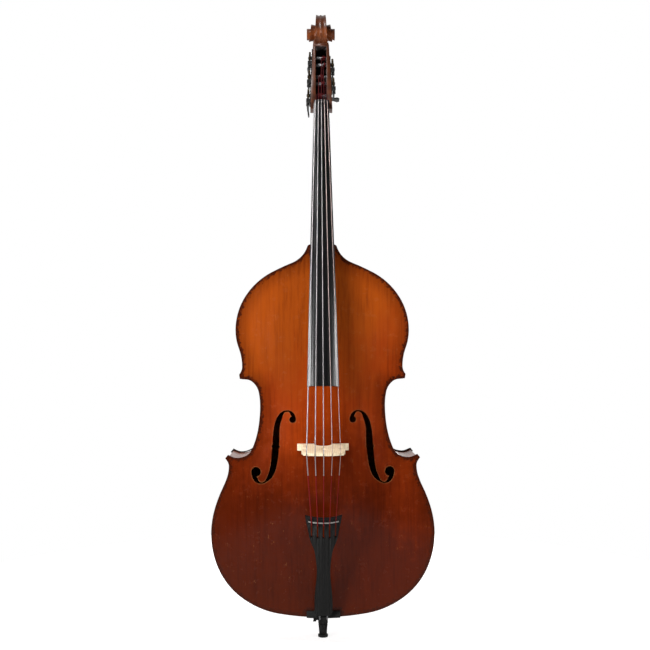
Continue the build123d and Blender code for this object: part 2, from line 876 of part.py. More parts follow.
# ---------------------------------------------------------------- bridge
bridge_plane = Plane(
    (0, front_face_y, body_bottom + bridge_line), x_dir=(1, 0, 0), z_dir=(0, 0, -1)
)
crown_rises = [front_face_y - place.Y for place in crown_places]
crown_half = bridge_crown_width / 2
crown_middle = crown_rises[2] - string_radii[2] + groove_depth
crown_edge = crown_rises[4] - string_radii[4] + groove_depth
crown_side = crown_middle - (crown_middle - crown_edge) * (crown_half / crown_across[4]) ** 2
foot_inner = bridge_foot_width / 2 - bridge_foot_length
foot_outer = bridge_foot_width / 2
leg_side = [
    (foot_outer, 31, 105),
    (foot_outer - 7, 36, 165),
    (foot_outer - 17, 48, 100),
    (foot_outer - 17, 84, 85),
    (foot_outer - 20, 92, 150),
    (foot_outer - 34, 107, 90),
    (foot_outer - 22, 119, 0),
    (foot_outer - 14, 127, 85),
    (crown_half, crown_side - 12, 97),
    (crown_half, crown_side, 90),
]
with BuildPart() as bridge:
    with BuildSketch(bridge_plane):
        with BuildLine():
            Polyline((foot_outer, 31), (foot_outer, 10), (foot_inner, 10), (foot_inner, 34))
            arc_pair((foot_inner, 34, 95), (0, 64, 180))
            for start, end in zip(leg_side, leg_side[1:]):
                arc_pair(start, end)
            mirror(about=Plane.YZ)
            ThreePointArc(
                (crown_half, crown_side), (0, crown_middle), (-crown_half, crown_side)
            )
        make_face()
        with BuildLine(mode=Mode.PRIVATE) as heart_line:
            arc_pair((0, 100, 45), (14, 124, 90))
            arc_pair((14, 124, 90), (0, 125, 270))
            mirror(about=Plane.YZ)
        add(make_face(heart_line.edges(), mode=Mode.PRIVATE), mode=Mode.SUBTRACT)
        with Locations((28, 112), (-28, 112)):
            Circle(5.5, mode=Mode.SUBTRACT)
    extrude(amount=bridge_foot_thickness / 2, both=True)
    taper = (bridge_foot_thickness - bridge_crown_thickness) / (crown_middle - plate_edge)
    split(
        bisect_by=Plane(
            (0, front_face_y - crown_middle, crown_height + bridge_crown_thickness / 2),
            z_dir=(0, -taper, 1),
        ),
        keep=Keep.BOTTOM,
    )
    split(bisect_by=front_outer, keep=Keep.BOTTOM)
    for groove in grooves:
        add(groove, mode=Mode.SUBTRACT)
keep_piece(bridge, "bridge")

# ---------------------------------------------------------------- saddle, tailpiece and wire
with BuildPart() as saddle:
    with BuildSketch(front_joint):
        with Locations((0, saddle_length / 2)):
            Rectangle(saddle_width, saddle_length)
        add(plate_outline.sketch, mode=Mode.INTERSECT)
    extrude(amount=plate_edge + saddle_height)
    with BuildSketch(Plane.YZ.offset(-saddle_width)):
        ridge = (saddle_front_y, body_bottom + saddle_ridge)
        back_rise = front_face_y - saddle_back_height
        Polygon(
            ridge,
            (back_rise, body_bottom + saddle_length),
            (saddle_front_y, body_bottom + saddle_length),
            align=None,
        )
    extrude(amount=2 * saddle_width, mode=Mode.SUBTRACT)
    front_edges = saddle.edges().group_by(Axis.Y)[0]
    fillet(front_edges.sort_by(Axis.Z)[0], saddle_round)
keep_piece(saddle, "saddle")

tail_top = tailpiece_start + tailpiece_length
tail_side = [
    (53, tail_top, 262),
    (44.5, tail_top - 45, 259),
    (39.5, tail_top - 70, 253),
    (28.5, tail_top - 99, 250),
    (23.5, tail_top - 124, 262),
    (19.8, tail_top - 172, 270),
    (25, tail_top - 245, 275),
    (26.8, tailpiece_start + 14, 270),
    (15, tailpiece_start, 180),
]


tail_section_plane = Plane(tail_plane.origin, x_dir=(1, 0, 0), z_dir=tail_plane.y_dir)
tail_axis_drop = tailpiece_radius - tailpiece_thickness / 2


def arched_ring(low, high, rise, sink):
    """A ring about the tailpiece's arch, between two places along it."""
    with BuildPart() as ring:
        with BuildSketch(tail_section_plane.offset(low)):
            with Locations((0, tail_axis_drop)):
                Circle(tailpiece_radius + rise)
                Circle(tailpiece_radius - sink, mode=Mode.SUBTRACT)
        extrude(amount=high - low)
    return ring.part


# the wire's two strands leave the tailpiece, bend over the saddle and meet round the collar
wire_reach = plug_collar_radius + tail_wire_radius + slide_gap
strand = math.hypot(tail_wire_half, corner_y)
aim = math.atan2(-corner_y, -tail_wire_half) - math.asin(wire_reach / strand)
loop_start = Vector(wire_reach * math.sin(aim), -wire_reach * math.cos(aim), wire_height)
loop_end = Vector(-loop_start.X, loop_start.Y, wire_height)
beside = Vector(tail_wire_half, 0, 0)
wire_end = wire_corner + pull_line * (tailpiece_start + wire_hold)
with BuildLine() as wire_line:
    FilletPolyline(wire_end + beside, wire_corner + beside, loop_start, radius=wire_bend)
    ThreePointArc(loop_start, (0, wire_reach, wire_height), loop_end)
    FilletPolyline(loop_end, wire_corner - beside, wire_end - beside, radius=wire_bend)
with BuildPart() as tail_wire:
    add(round_rod(wire_line.wire(), tail_wire_radius))
keep_piece(tail_wire, "tail_wire")

with BuildPart() as tailpiece_fret:
    add(arched_ring(fret_place - fret_length / 2, fret_place + fret_length / 2, fret_height, 1))
    with BuildSketch(tail_plane):
        with Locations((0, fret_place)):
            Rectangle(4 * tail_spacing + 2 * fret_overhang, fret_length)
    extrude(amount=tailpiece_radius, both=True, mode=Mode.INTERSECT)
    fret_bed = tailpiece_fret.part
    for groove in grooves:
        add(groove, mode=Mode.SUBTRACT)
keep_piece(tailpiece_fret, "tailpiece_fret")

with BuildPart() as tailpiece:
    add(arched_ring(0, tail_top, 0, tailpiece_thickness))
    with BuildSketch(tail_plane):
        with BuildLine():
            for start, end in zip(tail_side, tail_side[1:]):
                arc_pair(start, end)
            Line(tail_side[-1][:2], (0, tailpiece_start))
            mirror(about=Plane.YZ)
            Line((tail_side[0][0], tail_top), (-tail_side[0][0], tail_top))
        make_face()
    extrude(amount=tailpiece_radius / 2, both=True, mode=Mode.INTERSECT)
    with BuildSketch(tail_plane):
        for across in tail_across:
            with Locations((across, slot_top - slot_length / 2)):
                SlotOverall(slot_length, slot_width, rotation=90)
            with Locations((across, slot_top - slot_length)):
                Circle(string_hole_radius)
    extrude(amount=tailpiece_radius / 2, both=True, mode=Mode.SUBTRACT)
    add(fret_bed, mode=Mode.SUBTRACT)
    add(round_rod(wire_line.wire(), tail_wire_radius + running_gap), mode=Mode.SUBTRACT)
keep_piece(tailpiece, "tailpiece")

# ---------------------------------------------------------------- strings
for i in strings:
    name = string_names[i]
    with BuildPart() as string:
        add(round_rod(string_lines[i], string_radii[i]))
        ball_plane = Plane(string_routes[i][0], x_dir=tail_plane.z_dir, z_dir=(1, 0, 0))
        with BuildSketch(ball_plane):
            Circle(ball_radius)
        extrude(amount=ball_radius, both=True)
    keep_piece(string, f"string_{name}")

# ---------------------------------------------------------------- tuning machines
wheel_points = []
for corner in range(2 * gear_teeth):
    turn = math.pi * corner / gear_teeth
    radius = gear_tip_radius if corner % 2 else gear_root_radius
    wheel_points.append((radius * math.cos(turn), radius * math.sin(turn)))
gear_low = plate_thickness + gear_gap
worm_height = gear_low + gear_thickness / 2
lug_start = worm_length / 2 + clearance
lug_end = lug_start + lug_length
wing_half = wing_span / 2
wing_outline = [
    (0, -wing_length / 2 + 4),
    (wing_half - 7, -wing_length / 2),
    (wing_half, -wing_length / 4),
    (wing_half, wing_length / 3),
    (wing_half - 8, wing_length / 2),
    (5, wing_length / 2 - 5),
    (0, wing_length / 2 - 6),
]
machine_lean = (pegbox_half_start - pegbox_half_end) / (pegbox_end - pegbox_start)
lean_stretch = math.hypot(1, machine_lean)
worm_planes = []
for i in strings:
    back = machines[i].y_dir * -machine_sides[i]
    worm_centre_point = machines[i].from_local_coords((-worm_centre, 0, worm_height))
    worm_planes.append(Plane(worm_centre_point, x_dir=machines[i].x_dir, z_dir=back))

for i in strings:
    name, plane = string_names[i], machines[i]
    outside = cheek_half(roller_places[i])
    with BuildPart() as roller:
        with BuildSketch(plane.offset(gear_low)):
            Circle(roller_radius)
        extrude(amount=-(gear_low + 2 * outside * lean_stretch - roller_short))
    keep_piece(roller, f"tuner_{name}_roller")

    with BuildPart() as gear:
        with BuildSketch(plane.offset(gear_low)):
            Polygon(*wheel_points, align=None)
        extrude(amount=gear_thickness)
    keep_piece(gear, f"tuner_{name}_gear")

    with BuildPart() as key:
        with BuildSketch(worm_planes[i].offset(-lug_end - 1)):
            Circle(key_radius)
        extrude(amount=2 * lug_end + 1 + key_reach)
        wing_axis = Axis((0, 0, 0), tuple(worm_planes[i].z_dir))
        wing_face = worm_planes[i].x_dir.rotate(wing_axis, wing_turns[i])
        wing_centre = worm_planes[i].origin + worm_planes[i].z_dir * (lug_end + key_reach)
        wing_across = wing_face.rotate(wing_axis, -90)
        with BuildSketch(Plane(wing_centre, x_dir=wing_across, z_dir=wing_face)):
            with BuildLine():
                Polyline(*wing_outline)
                mirror(about=Plane.YZ)
            make_face()
        extrude(amount=wing_thickness / 2, both=True)
    keep_piece(key, f"tuner_{name}_key")

with BuildPart() as tuner_plates:
    for i in strings:
        with BuildSketch(machines[i]):
            with Locations(((plate_above - plate_below) / 2, 0)):
                plate = Rectangle(plate_above + plate_below, plate_width)
                chamfer(plate.vertices(), plate_corner)
        extrude(amount=plate_thickness)
        with BuildSketch(machines[i]):
            for way in (-1, 1):
                with Locations((-worm_centre, way * (lug_start + lug_length / 2))):
                    Rectangle(lug_width, lug_length)
        extrude(amount=worm_height + lug_width / 2)
        with BuildSketch(machines[i]):
            Circle(roller_radius + running_gap)
        extrude(amount=plate_thickness, mode=Mode.SUBTRACT)
        with BuildSketch(worm_planes[i]):
            Circle(key_radius + running_gap)
        extrude(amount=2 * lug_end, both=True, mode=Mode.SUBTRACT)
keep_piece(tuner_plates, "tuner_plates")

# ---------------------------------------------------------------- endpin
with BuildPart() as endpin_foot:
    with BuildSketch(Plane.XZ):
        Polygon(
            (rod_radius, foot_height - rod_in_foot),
            (rod_radius, foot_height),
            (foot_radius, foot_height),
            (foot_radius, foot_flare_height),
            (foot_radius + foot_flare, 0),
            (0, 0),
            (0, foot_height - rod_in_foot),
            align=None,
        )
    revolve(axis=Axis.Z)
keep_piece(endpin_foot, "endpin_foot")

with BuildPart() as endpin_rod:
    with BuildSketch(Plane.XY.offset(foot_height - rod_in_foot)):
        Circle(rod_radius)
    extrude(amount=rod_length)
keep_piece(endpin_rod, "endpin_rod")

screw_plane = Plane((0, 0, screw_height), x_dir=(0, 1, 0), z_dir=(-1, 0, 0))
with BuildPart() as endpin_ferrule:
    with BuildSketch(Plane.XY.offset(ferrule_bottom)):
        Circle(ferrule_radius)
        Circle(rod_radius + slide_gap, mode=Mode.SUBTRACT)
    extrude(amount=ferrule_height)
    with BuildSketch(screw_plane):
        Circle(screw_radius + running_gap)
    extrude(amount=2 * ferrule_radius, mode=Mode.SUBTRACT)
keep_piece(endpin_ferrule, "endpin_ferrule")

plug_collar_bottom = ferrule_bottom + ferrule_height
rib_bottom = body_bottom + plate_overhang
with BuildPart() as endpin_plug:
    with BuildSketch(Plane.XY.offset(plug_collar_bottom)):
        Circle(plug_collar_radius)
    extrude(amount=rib_bottom - plug_collar_bottom)
    with BuildSketch(Plane.XY.offset(rib_bottom)):
        Circle(plug_radius)
    extrude(amount=rib_thickness + block_depth + 6)
    with BuildSketch(Plane.XY.offset(plug_collar_bottom)):
        Circle(rod_radius + slide_gap)
    extrude(amount=rod_length, mode=Mode.SUBTRACT)
keep_piece(endpin_plug, "endpin_plug")

with BuildPart() as endpin_thumbscrew:
    with BuildSketch(screw_plane.offset(rod_radius + slide_gap + clearance)):
        Circle(screw_radius)
    extrude(amount=screw_reach - rod_radius)
    with BuildSketch(Plane((-screw_reach, 0, screw_height), x_dir=(1, 0, 0), z_dir=(0, 1, 0))):
        for way in (-1, 1):
            Polygon(
                (screw_wing_length / 2, way * screw_radius),
                (screw_wing_length / 2 - 1, way * screw_wing_span / 2),
                (-screw_wing_length / 2, way * screw_wing_span / 2),
                (-screw_wing_length / 2 + 2, way * screw_radius / 2),
                (-screw_wing_length / 2 + 2, 0),
                (screw_wing_length / 2, 0),
                align=None,
            )
    extrude(amount=1.5, both=True)
keep_piece(endpin_thumbscrew, "endpin_thumbscrew")
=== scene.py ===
import json
from math import cos, pi, radians, sin
import bpy
import numpy as np
from mathutils import Matrix, Vector
from mathutils.bvhtree import BVHTree
from mathutils.kdtree import KDTree

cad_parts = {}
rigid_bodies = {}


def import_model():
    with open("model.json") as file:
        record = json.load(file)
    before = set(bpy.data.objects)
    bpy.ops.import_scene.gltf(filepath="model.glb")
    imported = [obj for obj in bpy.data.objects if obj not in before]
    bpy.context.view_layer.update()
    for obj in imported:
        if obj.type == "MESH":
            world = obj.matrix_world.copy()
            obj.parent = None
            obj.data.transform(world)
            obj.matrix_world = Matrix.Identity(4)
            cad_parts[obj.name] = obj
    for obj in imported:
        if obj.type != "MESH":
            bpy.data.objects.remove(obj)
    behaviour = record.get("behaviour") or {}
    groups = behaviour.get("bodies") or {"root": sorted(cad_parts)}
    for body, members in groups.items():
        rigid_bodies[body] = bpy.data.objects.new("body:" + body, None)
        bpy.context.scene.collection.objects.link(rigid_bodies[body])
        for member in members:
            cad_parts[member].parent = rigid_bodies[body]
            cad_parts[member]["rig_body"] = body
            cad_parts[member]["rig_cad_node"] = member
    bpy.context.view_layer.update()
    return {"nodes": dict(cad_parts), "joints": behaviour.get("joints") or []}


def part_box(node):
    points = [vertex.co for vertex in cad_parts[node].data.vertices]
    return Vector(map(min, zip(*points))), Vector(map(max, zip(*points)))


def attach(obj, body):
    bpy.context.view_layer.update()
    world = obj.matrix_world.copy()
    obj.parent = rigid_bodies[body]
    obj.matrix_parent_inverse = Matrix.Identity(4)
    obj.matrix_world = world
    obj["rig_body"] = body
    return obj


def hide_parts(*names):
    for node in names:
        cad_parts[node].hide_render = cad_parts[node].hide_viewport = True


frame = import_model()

cadNodes = frame["nodes"]
joints = {joint["name"]: joint for joint in frame["joints"]}
stringNames = ["b", "e", "a", "d", "g"]  # from the bass side to the treble side


# helpers for the node trees

def feed(node, socketName, value):
    socket = node.inputs[socketName]
    if isinstance(value, bpy.types.NodeSocket):
        node.id_data.links.new(value, socket)
    else:
        socket.default_value = value


def newMaterial(name):
    material = bpy.data.materials.new(name)
    material.use_nodes = True
    shader = material.node_tree.nodes["Principled BSDF"]
    return material, material.node_tree, shader


def objectPoint(tree, stretch=(1, 1, 1)):
    coordinates = tree.nodes.new("ShaderNodeTexCoord")
    mapping = tree.nodes.new("ShaderNodeMapping")
    feed(mapping, "Vector", coordinates.outputs["Object"])
    feed(mapping, "Scale", stretch)
    return mapping.outputs["Vector"]


def placeAlong(tree, axis):
    split = tree.nodes.new("ShaderNodeSeparateXYZ")
    feed(split, "Vector", objectPoint(tree))
    return split.outputs[axis]


def noise(tree, stretch, scale, detail, roughness):
    texture = tree.nodes.new("ShaderNodeTexNoise")
    feed(texture, "Vector", objectPoint(tree, stretch))
    feed(texture, "Scale", scale)
    feed(texture, "Detail", detail)
    feed(texture, "Roughness", roughness)
    return texture.outputs["Fac"]


def wave(tree, stretch, scale, direction, distortion, detail, detailScale):
    texture = tree.nodes.new("ShaderNodeTexWave")
    texture.bands_direction = direction
    feed(texture, "Vector", objectPoint(tree, stretch))
    feed(texture, "Scale", scale)
    feed(texture, "Distortion", distortion)
    feed(texture, "Detail", detail)
    feed(texture, "Detail Scale", detailScale)
    return texture.outputs["Fac"]


def cells(tree, stretch, scale):
    texture = tree.nodes.new("ShaderNodeTexVoronoi")
    feed(texture, "Vector", objectPoint(tree, stretch))
    feed(texture, "Scale", scale)
    return texture.outputs["Distance"]


def ramp(tree, value, stops):
    node = tree.nodes.new("ShaderNodeValToRGB")
    feed(node, "Fac", value)
    elements = node.color_ramp.elements
    while len(elements) < len(stops):
        elements.new(0.5)
    for element, (position, colour) in zip(elements, stops):
        element.position = position
        element.color = (*colour, 1.0)
    return node.outputs["Color"]


def spread(tree, value, low, high, newLow=0.0, newHigh=1.0):
    node = tree.nodes.new("ShaderNodeMapRange")
    feed(node, "Value", value)
    feed(node, "From Min", low)
    feed(node, "From Max", high)
    feed(node, "To Min", newLow)
    feed(node, "To Max", newHigh)
    return node.outputs["Result"]


def fade(tree, value, full, gone):
    # 1 up to the first value, 0 from the second on
    return spread(tree, value, full, gone, 1.0, 0.0)


def swing(tree, value, newLow, newHigh):
    # a noise seldom leaves 0.3 to 0.7
    return spread(tree, value, 0.3, 0.7, newLow, newHigh)


def combine(tree, kind, first, second):
    node = tree.nodes.new("ShaderNodeMath")
    node.operation = kind
    feed(node, 0, first)
    feed(node, 1, second)
    return node.outputs["Value"]


def total(tree, first, second):
    return combine(tree, "ADD", first, second)


def product(tree, first, second):
    return combine(tree, "MULTIPLY", first, second)


def mixed(tree, factor, first, second, kind="MIX"):
    node = tree.nodes.new("ShaderNodeMix")
    node.data_type = "RGBA"
    node.blend_type = kind
    feed(node, 0, factor)
    # the two colour sockets go by number, because their names are used more than once
    for index, value in ((6, first), (7, second)):
        feed(node, index, value if isinstance(value, bpy.types.NodeSocket) else (*value, 1.0))
    return node.outputs[2]


def bumped(tree, shader, height, strength, distance):
    node = tree.nodes.new("ShaderNodeBump")
    feed(node, "Height", height)
    feed(node, "Strength", strength)
    feed(node, "Distance", distance)
    feed(shader, "Normal", node.outputs["Normal"])


def attribute(tree, name):
    node = tree.nodes.new("ShaderNodeAttribute")
    node.attribute_name = name
    return node.outputs["Fac"]


def rayKinds(tree):
    # what the camera sees, and what polish and glass show
    rays = tree.nodes.new("ShaderNodeLightPath")
    glossy, through = rays.outputs["Is Glossy Ray"], rays.outputs["Is Transmission Ray"]
    return rays.outputs["Is Camera Ray"], combine(tree, "MAXIMUM", glossy, through)


# helpers for the pieces

edgeLook = {"angle": 40, "segments": 2, "weld": 0.00001}
level, upright = 0.9, 0.1  # a face with more of its normal upwards lies level, with less it stands


def pickOnly(*pieces):
    bpy.ops.object.select_all(action="DESELECT")
    for piece in pieces:
        piece.select_set(True)
    bpy.context.view_layer.objects.active = pieces[-1]


def pickFaces(piece, wanted):
    # leaves the piece in edit mode with only these faces selected
    bpy.ops.object.mode_set(mode="EDIT")
    bpy.ops.mesh.select_mode(type="FACE")
    bpy.ops.mesh.select_all(action="DESELECT")
    bpy.ops.object.mode_set(mode="OBJECT")
    for face in piece.data.polygons:
        face.select = wanted(face)
    bpy.ops.object.mode_set(mode="EDIT")


def mergedCopy(nodeName, pieceName):
    pickOnly(cadNodes[nodeName])
    bpy.ops.object.duplicate()
    piece = bpy.context.object
    piece.name = pieceName
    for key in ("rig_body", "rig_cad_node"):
        del piece[key]
    bpy.ops.object.parent_clear(type="CLEAR_KEEP_TRANSFORM")
    bpy.ops.object.mode_set(mode="EDIT")
    bpy.ops.mesh.select_all(action="SELECT")
    bpy.ops.mesh.remove_doubles(threshold=edgeLook["weld"])
    bpy.ops.object.mode_set(mode="OBJECT")
    return piece


def applyModifiers(piece):
    pickOnly(piece)
    for modifier in list(piece.modifiers):
        bpy.ops.object.modifier_apply(modifier=modifier.name)


def smooth(piece, angle):
    pickOnly(piece)
    bpy.ops.object.shade_smooth_by_angle(angle=radians(angle))


def softened(piece, width):
    bevel = piece.modifiers.new("edges", "BEVEL")
    bevel.width = width
    bevel.segments = edgeLook["segments"]
    bevel.limit_method = "ANGLE"
    bevel.angle_limit = radians(edgeLook["angle"])
    applyModifiers(piece)


def dress(piece, material):
    piece.data.materials.clear()
    piece.data.materials.append(material)


def finishCad(nodeName, pieceName, body, material, angle=35, edge=0.0):
    piece = mergedCopy(nodeName, pieceName)
    if edge:
        softened(piece, edge)
    smooth(piece, angle)
    if edge:
        # the wide faces lead the shading of the small bevels
        piece.modifiers.new("shading", "WEIGHTED_NORMAL").keep_sharp = True
        applyModifiers(piece)
    dress(piece, material)
    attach(piece, body)
    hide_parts(nodeName)


# camera and light

view = {
    "place": (-0.036, -2.8305, 0.862),
    "pitch": 92.09,
    "roll": 0.233,
    "yaw": -0.92,
    "lens": 50.0,
    "sensor": 36.0,
}
bpy.ops.object.camera_add(
    location=view["place"],
    rotation=(radians(view["pitch"]), radians(view["roll"]), radians(view["yaw"])),
)
camera = bpy.context.object
camera.name = "camera"
camera.data.lens = view["lens"]
camera.data.sensor_width = view["sensor"]
bpy.context.scene.camera = camera
bpy.context.scene.view_settings.view_transform = "Standard"

lamps = {
    "key_left": {"place": (-1.7, -2.2, 4.0), "aim": (-0.1, 0.0, 1.05), "size": (1.0, 1.0), "power": 135},
    "side_left": {"place": (-1.95, -1.9, 1.45), "aim": (0.0, -0.1, 0.95), "size": (0.65, 1.05), "power": 44},
    "from_behind": {"place": (1.6, 2.9, 2.7), "aim": (0.0, 0.0, 1.0), "size": (1.4, 1.4), "power": 75},
    "side_right": {"place": (2.0, -1.85, 1.45), "aim": (0.0, -0.1, 0.95), "size": (0.45, 0.95), "power": 26},
}
for lampName, lamp in lamps.items():
    direction = Vector(lamp["aim"]) - Vector(lamp["place"])
    bpy.ops.object.light_add(
        type="AREA", location=lamp["place"], rotation=direction.to_track_quat("-Z", "Y").to_euler()
    )
    light = bpy.context.object
    light.name = lampName
    light.data.shape = "RECTANGLE"
    light.data.size = lamp["size"][0]
    light.data.size_y = lamp["size"][1]
    light.data.energy = lamp["power"]

room = {"fill": 0.24, "front": 0.05, "frontEdge": (-0.1, 0.35)}


def lightRoom():
    # white for the camera, a faint fill for the object, and a dark front that the varnish mirrors
    world = bpy.data.worlds.new("studio")
    bpy.context.scene.world = world
    world.use_nodes = True
    tree = world.node_tree
    background = tree.nodes["Background"]
    feed(background, "Color", (1, 1, 1, 1))
    seenDirectly, mirrored = rayKinds(tree)
    heading = tree.nodes.new("ShaderNodeTexCoord")
    split = tree.nodes.new("ShaderNodeSeparateXYZ")
    feed(split, "Vector", heading.outputs["Generated"])
    mirroredWhite = spread(tree, split.outputs["Y"], *room["frontEdge"], room["front"], 1.0)
    white = combine(tree, "MAXIMUM", seenDirectly, product(tree, mirrored, mirroredWhite))
    unseen = combine(tree, "SUBTRACT", 1.0, combine(tree, "MAXIMUM", seenDirectly, mirrored))
    feed(background, "Strength", total(tree, white, product(tree, unseen, room["fill"])))


floorLook = {
    "radius": 1.7,
    "corners": 96,
    "paper": 0.62,
    "rough": 0.9,
    "gloss": 0.1,
    "paleEdge": (0.3, 1.5, 0.72, 1.0),  # the paper ends in plain white for the camera
    "mirroredEdge": (1.3, 1.7, 0.05, 1.0),  # and is dark in the varnish except at its end
}


def layFloor():
    look = floorLook
    bpy.ops.mesh.primitive_circle_add(
        vertices=look["corners"], radius=look["radius"], fill_type="NGON", location=(0, 0, 0)
    )
    floor = bpy.context.object
    floor.name = "floor"
    material, tree, shader = newMaterial("floor_paper")
    feed(shader, "Base Color", (look["paper"], look["paper"], look["paper"], 1))
    feed(shader, "Roughness", look["rough"])
    feed(shader, "Specular IOR Level", look["gloss"])
    feed(shader, "Emission Color", (1, 1, 1, 1))
    fromCentre = tree.nodes.new("ShaderNodeVectorMath")
    fromCentre.operation = "LENGTH"
    feed(fromCentre, "Vector", objectPoint(tree))
    seenDirectly, mirrored = rayKinds(tree)
    paleEdge = spread(tree, fromCentre.outputs["Value"], *look["paleEdge"])
    mirroredEdge = spread(tree, fromCentre.outputs["Value"], *look["mirroredEdge"])
    glow = total(tree, product(tree, seenDirectly, paleEdge), product(tree, mirrored, mirroredEdge))
    feed(shader, "Emission Strength", glow)
    floor.data.materials.append(material)


lightRoom()
layFloor()
print("camera, lamps and floor ready")


# finishes
# A pattern is how its place is stretched, its scale, and then a noise's detail and roughness,
# or a wave's direction, distortion, detail and the scale of that detail.
# A span is the values it runs between, followed by what they become where that isn't 0 and 1.

varnishLook = {
    # the varnish's tones by height, darker low down partly as painted shade
    "tones": (
        (0.0, (0.070, 0.008, 0.0006)),
        (0.25, (0.085, 0.0085, 0.0006)),
        (0.40, (0.17, 0.018, 0.0014)),
        (0.55, (0.30, 0.036, 0.0025)),
        (0.75, (0.34, 0.058, 0.0035)),
        (1.0, (0.34, 0.061, 0.004)),
    ),
    "toneAndShadeHeights": (0.09, 1.24),  # the heights between which the tones and the painted shade run
    "sideShadeSpan": (-0.36, 0.36, -0.12, 0.12),  # painted shade: the bass side is darker low down
    "sideShadeTurnover": (0.0, 0.8, 1.0, -0.8),  # and painted shade makes the treble side darker high up, beside the fingerboard's shadow
    "cloudSwing": (-0.10, 0.10),
    "smallCloudSwing": (-0.03, 0.03),
    "deep": (0.070, 0.008, 0.0006),
    "edgeColour": (0.012, 0.005, 0.003),
    "scratchColour": (0.42, 0.16, 0.045),
    "chipColour": (0.33, 0.14, 0.045),
    "fineGrain": ((1, 1, 0.02), 130, "X", 5.0, 3.0, 0.35),
    "fineTones": [(0.0, (0.62, 0.62, 0.62)), (0.55, (1, 1, 1)), (1.0, (1.07, 1.06, 1.0))],
    "wideGrain": ((1, 1, 0.03), 120, 4.0, 0.65),
    "wideTones": [(0.3, (0.6, 0.54, 0.5)), (0.52, (1, 1, 1)), (0.75, (1.12, 1.1, 1.0))],
    "clouds": ((1, 1, 0.45), 7, 4.0, 0.6),
    "smallClouds": ((1, 1, 1), 38, 5.0, 0.62),
    "flecks": ((1, 1, 0.6), 210),
    "fleckSpan": (0.09, 0.0),
    "fleckPatches": (0.54, 0.66, 0.0, 0.6),
    "scratches": ((1, 1, 0.3), 330, 2.0, 0.5),
    "scratchSpan": (0.67, 0.71, 0.0, 0.28),
    "scratchPatches": (0.5, 0.6),
    "wear": ((1, 1, 1), 85, 6.0, 0.75),
    "raggedEdge": (-0.0085, 0.0085),
    "wornEdge": (0.0065, 0.0115),  # distances from the rim, in metres
    "deepEdge": (0.006, 0.05, 0.55, 0.0),
    "chippedHole": (0.0006, 0.0024),
    "chipSpan": (0.35, 0.6, 0.12, 0.5),
    "rough": (0.18, 0.30),
    "gloss": 0.1,
    "coat": 0.05,
    "coatRough": 0.16,
    "bump": (0.35, 0.0006),
}


def makeFrontVarnish(look):
    material, tree, shader = newMaterial("front_varnish_finish")
    fineGrain = wave(tree, *look["fineGrain"])
    wideGrain = noise(tree, *look["wideGrain"])
    clouds = noise(tree, *look["clouds"])
    smallClouds = noise(tree, *look["smallClouds"])

    # from dark at the foot to amber in the upper bout: partly the varnish's own tone, partly painted shade
    # where less light falls low down
    height = spread(tree, placeAlong(tree, "Z"), *look["toneAndShadeHeights"])
    # painted shade from side to side: the bass side darker low down, the treble side darker high up
    across = spread(tree, placeAlong(tree, "X"), *look["sideShadeSpan"])
    across = product(tree, across, spread(tree, height, *look["sideShadeTurnover"]))
    toneAndShade = total(tree, height, across)
    toneAndShade = total(tree, toneAndShade, swing(tree, clouds, *look["cloudSwing"]))
    toneAndShade = total(tree, toneAndShade, swing(tree, smallClouds, *look["smallCloudSwing"]))
    base = ramp(tree, toneAndShade, look["tones"])

    # the spruce's lines
    base = mixed(tree, 0.55, base, ramp(tree, fineGrain, look["fineTones"]), "MULTIPLY")
    base = mixed(tree, 0.7, base, ramp(tree, wideGrain, look["wideTones"]), "MULTIPLY")

    # dark flecks and light scratches, each in patches
    flecks = spread(tree, cells(tree, *look["flecks"]), *look["fleckSpan"])
    flecks = product(tree, flecks, spread(tree, smallClouds, *look["fleckPatches"]))
    base = mixed(tree, flecks, base, look["edgeColour"])
    scratches = spread(tree, noise(tree, *look["scratches"]), *look["scratchSpan"])
    scratches = product(tree, scratches, spread(tree, smallClouds, *look["scratchPatches"]))
    base = mixed(tree, scratches, base, look["scratchColour"])

    # a ragged dark rim, a deeper tone near it, and bare wood at the sound holes' lips
    edge = attribute(tree, "rimDistance")
    wear = noise(tree, *look["wear"])
    ragged = total(tree, edge, swing(tree, wear, *look["raggedEdge"]))
    base = mixed(tree, fade(tree, ragged, *look["wornEdge"]), base, look["edgeColour"])
    base = mixed(tree, spread(tree, edge, *look["deepEdge"]), base, look["deep"])
    lips = fade(tree, attribute(tree, "holeDistance"), *look["chippedHole"])
    chips = product(tree, lips, spread(tree, wear, *look["chipSpan"]))
    base = mixed(tree, chips, base, look["chipColour"])

    feed(shader, "Base Color", base)
    feed(shader, "Roughness", swing(tree, smallClouds, *look["rough"]))
    feed(shader, "Specular IOR Level", look["gloss"])
    feed(shader, "Coat Weight", look["coat"])
    feed(shader, "Coat Roughness", look["coatRough"])
    heights = total(tree, product(tree, fineGrain, 0.5), product(tree, smallClouds, 1.2))
    bumped(tree, shader, heights, *look["bump"])
    return material


def shadedHollowMask(tree, hollow):
    # 1 inside the pegbox, where the painted shade goes, measured along and out from the leaning glue line
    nutY, nutZ, lean = hollow["nutY"], hollow["nutZ"], hollow["lean"]
    outFront = combine(tree, "SUBTRACT", placeAlong(tree, "Y"), nutY)
    upward = combine(tree, "SUBTRACT", placeAlong(tree, "Z"), nutZ)
    up = total(tree, product(tree, outFront, sin(lean)), product(tree, upward, cos(lean)))
    deep = combine(tree, "SUBTRACT", product(tree, outFront, cos(lean)), product(tree, upward, sin(lean)))
    half, soft = hollow["half"], hollow["soft"]
    squared = product(tree, placeAlong(tree, "X"), placeAlong(tree, "X"))
    mask = fade(tree, squared, half * half, (half + hollow["softSide"]) ** 2)
    for value, (low, high) in ((up, hollow["along"]), (deep, hollow["depth"])):
        mask = product(tree, mask, spread(tree, value, low - soft, low))
        mask = product(tree, mask, fade(tree, value, high, high + soft))
    return mask


